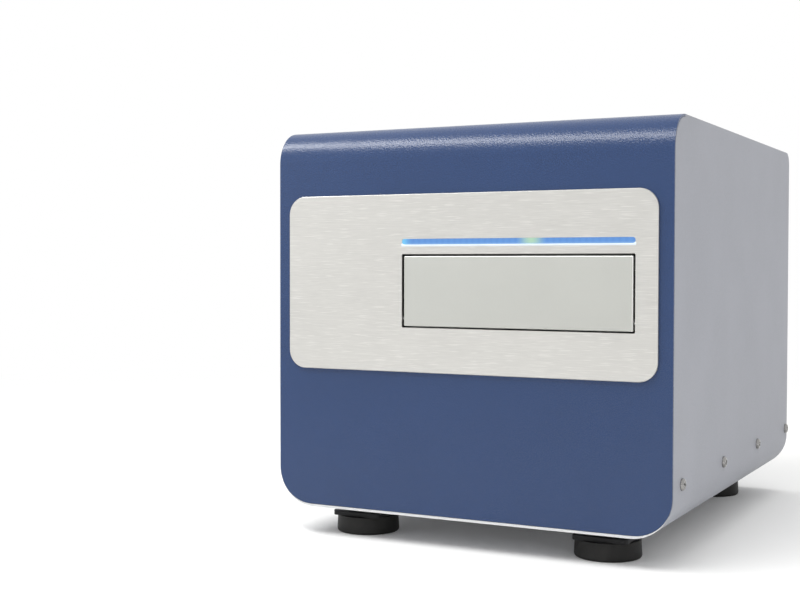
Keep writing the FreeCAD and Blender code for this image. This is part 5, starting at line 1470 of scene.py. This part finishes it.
@dataclass
class TrayDrive:
    """The tray's toothed belt and its two pulleys.

    Attributes:
        pitch: The pitch of the teeth.
        web: How thick the belt is between its teeth.
        line: How far the belt's pitch line lies outside the pulleys' flats.
        tooth: How high a tooth of the belt stands.
        groove: How deep a groove of a pulley is.
        radius: The pulleys' radius over their teeth.
        rim: The outline of a pulley, radius and height pairs in millimetres.
        width: A pulley's width.
        shaft: The radius of the drive pulley's shaft.
    """

    pitch: float = 2.0 * MM
    web: float = 1.4 * MM
    line: float = 0.5 * MM
    tooth: float = 0.55 * MM
    groove: float = 0.5 * MM
    radius: float = 8.0 * MM
    rim: Sequence[Pair] = ((9.1, 0.0), (9.4, 0.3), (9.4, 0.7), (9.1, 1.0), (8.0, 1.0), (8.0, 8.0),
                           (9.1, 8.0), (9.4, 8.3), (9.4, 8.7), (9.1, 9.0))
    width: float = 9.0 * MM
    shaft: float = 2.5 * MM

    @property
    def teeth(self) -> int:
        """How many teeth a pulley has."""
        return round(math.tau * self.radius / self.pitch)

    def belt(self) -> None:
        """Lay the belt round the pulleys, its teeth inwards."""
        low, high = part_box("tray_belt")
        outer, middle = (high.z - low.z) / 2, (low.z + high.z) / 2
        inner, front, back = outer - self.web, low.y + outer, high.y - outer
        run, bend = back - front, math.pi * (inner + self.line)
        whole = 2 * (run + bend)
        steps = round(whole / self.pitch) * 4
        rows = []
        for step in range(steps):
            way = whole * step / steps
            near = inner + (0.0 if step % 4 < 2 else self.tooth)
            half, rest = divmod(way, run + bend)
            sign = -1.0 if half else 1.0
            angle = max(0.0, rest - run) / bend * math.pi
            if half:
                y = front if rest >= run else back - rest
            else:
                y = back if rest >= run else front + rest
            out = (sign * math.sin(angle), sign * math.cos(angle))
            rows.append([(x, y + out[0] * reach, middle + out[1] * reach) for x, reach in (
                (low.x, near), (low.x, outer), (high.x, outer), (high.x, near))])
        form = Form()
        form.surface(rows, loop=True)
        form.replace("tray_belt")

    def grooved(self, radius: float, height: float, angle: float) -> Pair:
        """Cut a pulley's grooves; see Form.turned."""
        flat = abs(radius - self.radius) < SLACK
        deep = flat and angle * self.teeth / math.tau % 1.0 < 0.5
        return radius - (self.groove if deep else 0.0), height

    def pulleys(self) -> None:
        """Turn the pulleys with their flanges, one on a shaft and one with a bore."""
        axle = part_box("idler_axle")
        bore = (axle[1].z - axle[0].z) / 4 + 0.15 * MM
        turn, rim, steps = Matrix.Rotation(math.pi / 2, 4, "Y"), scaled(self.rim), self.teeth * 4
        for node in ("drive_pulley", "idler_pulley"):
            low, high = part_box(node)
            middle, start = (low + high) / 2, high.x - self.width
            place = Matrix.Translation((start, middle.y, middle.z)) @ turn
            form = Form()
            if node == "drive_pulley":
                back = low.x - start
                shaft = [(self.shaft - 0.3 * MM, back), (self.shaft, 0.3 * MM + back),
                         (self.shaft, 0.0)]
                form.turned(shaft + rim, place, steps, 0, self.grooved)
            else:
                form.turned([(bore, 0.0), *rim, (bore, self.width)], place, steps, 0,
                            self.grooved, True)
            form.replace(node, angle=40)

    def make(self) -> None:
        """Make the belt and the pulleys."""
        self.belt()
        self.pulleys()


@dataclass
class Works:
    """Everything inside the case.

    Attributes:
        plain: Edges in millimetres, each with the nodes whose edges are rounded by that.
        motors: The square motors with cast end caps, and the axis of each.
        motor_boss: The height of the boss on a motor's front.
        cap_share: The share of a motor's body that each cap takes.
        lamp_side: How far the first lamp lies from the light board's end, in millimetres.
        lamp_rise: Where the lamps begin, from the light board's back.
        supply_floor: The thickness of the power supply's floor.
        supply_parts: What stands in it: the finish, where the part begins and ends in x and in y,
            from the near end or, below 0, from the far one, and how high it stands.
        glasses: The finishes of the filters after the first, round the wheel.
        places: How many places the wheel has.
    """

    plain: Sequence[tuple[float, str]] = (
        (0.15, "plate_nuts door_pins door_sector_gear door_pinion foot_screws idler_axle "
               "board_standoffs"),
        (0.3, "base_plate belt_clamp left_upright right_upright tray_rails tray_blocks "
              "tray_carriage cross_beam cross_rails optics_blocks optics_bracket wheel_motor "
              "focus_carrier light_bridge light_panel door_motor tube_lens camera light_engine "
              "filter_cube"),
        (0.5, "tray_arm plate_tray filter_wheel foot_plates"))
    motors: Sequence[tuple[str, int]] = (("cross_motor", 0), ("tray_motor", 0), ("focus_motor", 2))
    motor_boss: float = 2 * MM
    cap_share: float = 0.25
    lamp_side: float = 8.0
    lamp_rise: float = 1.65
    supply_floor: float = 1.5
    supply_parts: Sequence[tuple[Palette, Pair, Pair, float]] = (
        (Palette.copper_tape, (14.0, -28.5), (30.0, 75.0), 28.5),
        (Palette.black_plastic, (-27.0, -9.0), (30.0, 96.0), 30.5),
        (Palette.black_plastic, (10.0, -10.0), (-14.0, -1.0), 14.5))
    glasses: Sequence[Palette] = (Palette.blue_glass, Palette.amber_glass, Palette.red_glass,
                                  Palette.violet_glass)
    places: int = 6

    def make(self) -> None:
        """Make every piece inside."""
        for edge, nodes in self.plain:
            for node in nodes.split():
                Refined(node, edge * MM).make()
        self.caps()
        self.boards()
        self.supply()
        self.filters()
        Objective().make()
        Leadscrew("cross_screw", radius=4.0 * MM, pitch=2.0 * MM, axis=0, plain=19.0 * MM,
                  end=2.5 * MM).make()
        Leadscrew("focus_screw", radius=2.0 * MM, pitch=1.0 * MM, axis=2, plain=8.0 * MM,
                  end=2.0 * MM).make()
        TrayDrive().make()

    def caps(self) -> None:
        """Give the square motors their cast end caps."""
        for node, axis in self.motors:
            low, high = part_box(node)
            start, end = low[axis], high[axis] - self.motor_boss
            long = (end - start) * self.cap_share - SLACK
            cap = beyond(axis, start + long, end - long)
            Refined(node, 0.4 * MM, 2, [(Palette.aluminium_sheet, cap)]).make()

    def boards(self) -> None:
        """Paint the boards' parts and the lamps of the light board."""
        Board("main_board", 0.2 * MM, 1, axis=0, side=-1).make()
        Board("driver_board", 0.2 * MM, 1).make()
        low, high = [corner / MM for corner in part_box("light_board")]
        lamps = within((low.x + self.lamp_side, low.y, low.z),
                       (high.x - self.lamp_side, high.y - self.lamp_rise, high.z))
        Refined("light_board", 0.15 * MM, 1, [(Palette.opal_plastic, lamps)]).make()

    def supply(self) -> None:
        """Paint what stands inside the power supply."""
        low, high = [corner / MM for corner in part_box("power_supply")]
        floor, slack, paints = low.z + self.supply_floor, 0.1, []
        for finish, across, along, rise in self.supply_parts:
            x0, x1 = [(high.x if end < 0 else low.x) + end for end in across]
            y0, y1 = [(high.y if end < 0 else low.y) + end for end in along]
            paints.append((finish, within((x0 - slack, y0 - slack, floor + slack),
                                          (x1 + slack, y1 + slack, floor + rise + slack))))
        Refined("power_supply", segments=1, paints=paints).make()

    def filters(self) -> None:
        """Give the filters their colours, one after the other round the wheel."""
        low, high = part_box("filters")
        middle = (low + high) / 2

        def at(place: int) -> Test:
            """Make a test of whether a face belongs to one filter.

            Args:
                place: The filter's place on the wheel.

            Returns:
                The test.
            """
            def fits(centre: Vector, normal: Vector) -> bool:
                """Tell whether the face's direction from the wheel's middle fits."""
                turn = math.atan2(centre.y - middle.y, centre.x - middle.x) / math.tau
                return int((turn * self.places + self.places) % self.places) == place

            return fits

        paints = [(glass, at(place)) for place, glass in enumerate(self.glasses, 1)]
        Refined("filters", 0.15 * MM, 2, paints).make()


@dataclass(frozen=True)
class Lamp:
    """One soft lamp.

    Attributes:
        name: Its name.
        spot: Where it is.
        aim: The point that it faces.
        size: Its width and height, in metres.
        power: Its power in watts.
        seen: Whether glossy surfaces reflect it.
    """

    name: str
    spot: Point
    aim: Point
    size: Pair
    power: float
    seen: bool = True

    def make(self) -> None:
        """Hang the lamp."""
        light = bpy.data.lights.new(self.name, "AREA")
        light.shape = "RECTANGLE"
        light.size, light.size_y = self.size
        light.energy = self.power
        made = linked(self.name, light)
        made.location = self.spot
        made.visible_glossy = self.seen
        way = Vector(self.aim) - Vector(self.spot)
        made.rotation_euler = way.to_track_quat("-Z", "Y").to_euler()


@dataclass
class Studio:
    """The floor, the lamps, the surroundings and the camera.

    Attributes:
        floor: The floor's colour.
        reach: Half the floor's width.
        fade: Where the floor begins to turn white and where it has, from the middle.
        fade_share: How much white it has there.
        around: How bright the surroundings light the object.
        around_span: How much of that comes from below and how much from above.
        around_rise: Where it begins to change and where it has, as heights from -1 to 1.
        spot: Where the camera stands.
        turn: The camera's rotation, in degrees.
        lens: Its focal length on the sensor's width, in millimetres.
        sensor: The sensor's width.
        lamps: The lamps.
    """

    floor: Colour = (0.9, 0.9, 0.89)
    reach: float = 6.0
    fade: Pair = (0.35, 1.7)
    fade_share: Pair = (0.06, 1.0)
    around: float = 0.6
    around_span: Pair = (0.3, 1.7)
    around_rise: Pair = (-0.05, 0.8)
    spot: Point = (0.4322, -1.1345, 0.2266)
    turn: Point = (88.48, -0.09, 27.726)
    lens: float = 58.31
    sensor: float = 36.0
    lamps: Sequence[Lamp] = (
        Lamp("key", (-0.5, -0.84, 1.38), (0.0, -0.2, 0.33), (1.7, 0.3), 20.0),
        Lamp("overhead", (0.1, 0.5, 1.6), (0.0, 0.1, 0.2), (1.2, 0.8), 6.0, False),
        Lamp("front_left", (-1.7, -1.6, 0.7), (0.0, 0.0, 0.15), (1.2, 0.9), 2.4),
        Lamp("right", (1.8, -0.5, 1.1), (0.0, 0.0, 0.15), (1.2, 1.2), 1.6, False))

    def make(self) -> None:
        """Make the studio."""
        self.ground()
        self.world()
        for lamp in self.lamps:
            lamp.make()
        self.camera()

    def background(self, graph: Graph) -> Wire:
        """Tell the rays that see the background from those that light the object.

        Args:
            graph: The nodes that need to know.

        Returns:
            1 for the rays that see it, otherwise 0.
        """
        rays = [graph.node("ShaderNodeLightPath", output=name)
                for name in ("Is Camera Ray", "Is Glossy Ray", "Is Transmission Ray")]
        return rays[0].largest(rays[1]).largest(rays[2])

    def ground(self) -> None:
        """Lay the floor, which keeps the object's shadow."""
        mesh = bpy.data.meshes.new("floor")
        corners = [(-1, -1), (1, -1), (1, 1), (-1, 1)]
        mesh.from_pydata([(x * self.reach, y * self.reach, 0) for x, y in corners], [],
                         [(0, 1, 2, 3)])
        floor = linked("floor", mesh)
        shader = Shader("floor_pale")
        lit = shader.node("ShaderNodeBsdfDiffuse", {}, {"Color": (*self.floor, 1.0)})
        white = shader.node("ShaderNodeEmission", {}, {"Color": WHITE})
        way = shader.node("ShaderNodeVectorMath", {"operation": "LENGTH"}, {0: shader.place},
                          "Value")
        share = self.background(shader) * shader.spread(way, *self.fade, *self.fade_share)
        cover = shader.node("ShaderNodeMixShader", {}, {0: share, 1: lit, 2: white})
        shader.node("ShaderNodeOutputMaterial", {}, {"Surface": cover})
        mesh.materials.append(shader.material)
        floor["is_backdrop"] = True

    def world(self) -> None:
        """Light the object evenly from all round, on a white background."""
        world = bpy.data.worlds.new("studio")
        world.use_nodes = True
        bpy.context.scene.world = world
        graph = Graph(world.node_tree)
        way = graph.node("ShaderNodeTexCoord", output="Generated").axis("Z")
        below, above = [self.around * share for share in self.around_span]
        inputs = {"Value": way, "From Min": self.around_rise[0], "From Max": self.around_rise[1],
                  "To Min": below, "To Max": above}
        height = graph.node("ShaderNodeMapRange", {"clamp": True}, inputs, "Result")
        seen = self.background(graph)
        strength = seen + (1.0 - seen) * height
        sky = graph.node("ShaderNodeBackground", {}, {"Color": WHITE, "Strength": strength})
        graph.node("ShaderNodeOutputWorld", {}, {"Surface": sky})

    def camera(self) -> None:
        """Stand the camera where the photograph was taken from."""
        data = bpy.data.cameras.new("camera")
        data.lens, data.sensor_width = self.lens, self.sensor
        made = linked("camera", data)
        made.location = self.spot
        made.rotation_euler = [math.radians(angle) for angle in self.turn]
        bpy.context.scene.camera = made


def plain_nodes() -> None:
    """Give every node of the frame the finish that its slot names."""
    for name, obj in frame["nodes"].items():
        for slot in obj.material_slots:
            slot.material = Palette[SLOTS[name]].material


def main() -> None:
    """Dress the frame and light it."""
    logging.basicConfig(level=logging.INFO, format="%(name)s %(message)s")
    bpy.context.scene.view_settings.view_transform = "Standard"
    plain_nodes()
    setter = Setter()
    for assembly in (Case(setter), Front(), Rear(setter), Works(), Studio()):
        assembly.make()
    boxes = {"cad": CAD_BOX, "visual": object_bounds()}
    sizes = {name: [list(corner) for corner in box] for name, box in boxes.items()}


if __name__ == "__main__":
    main()
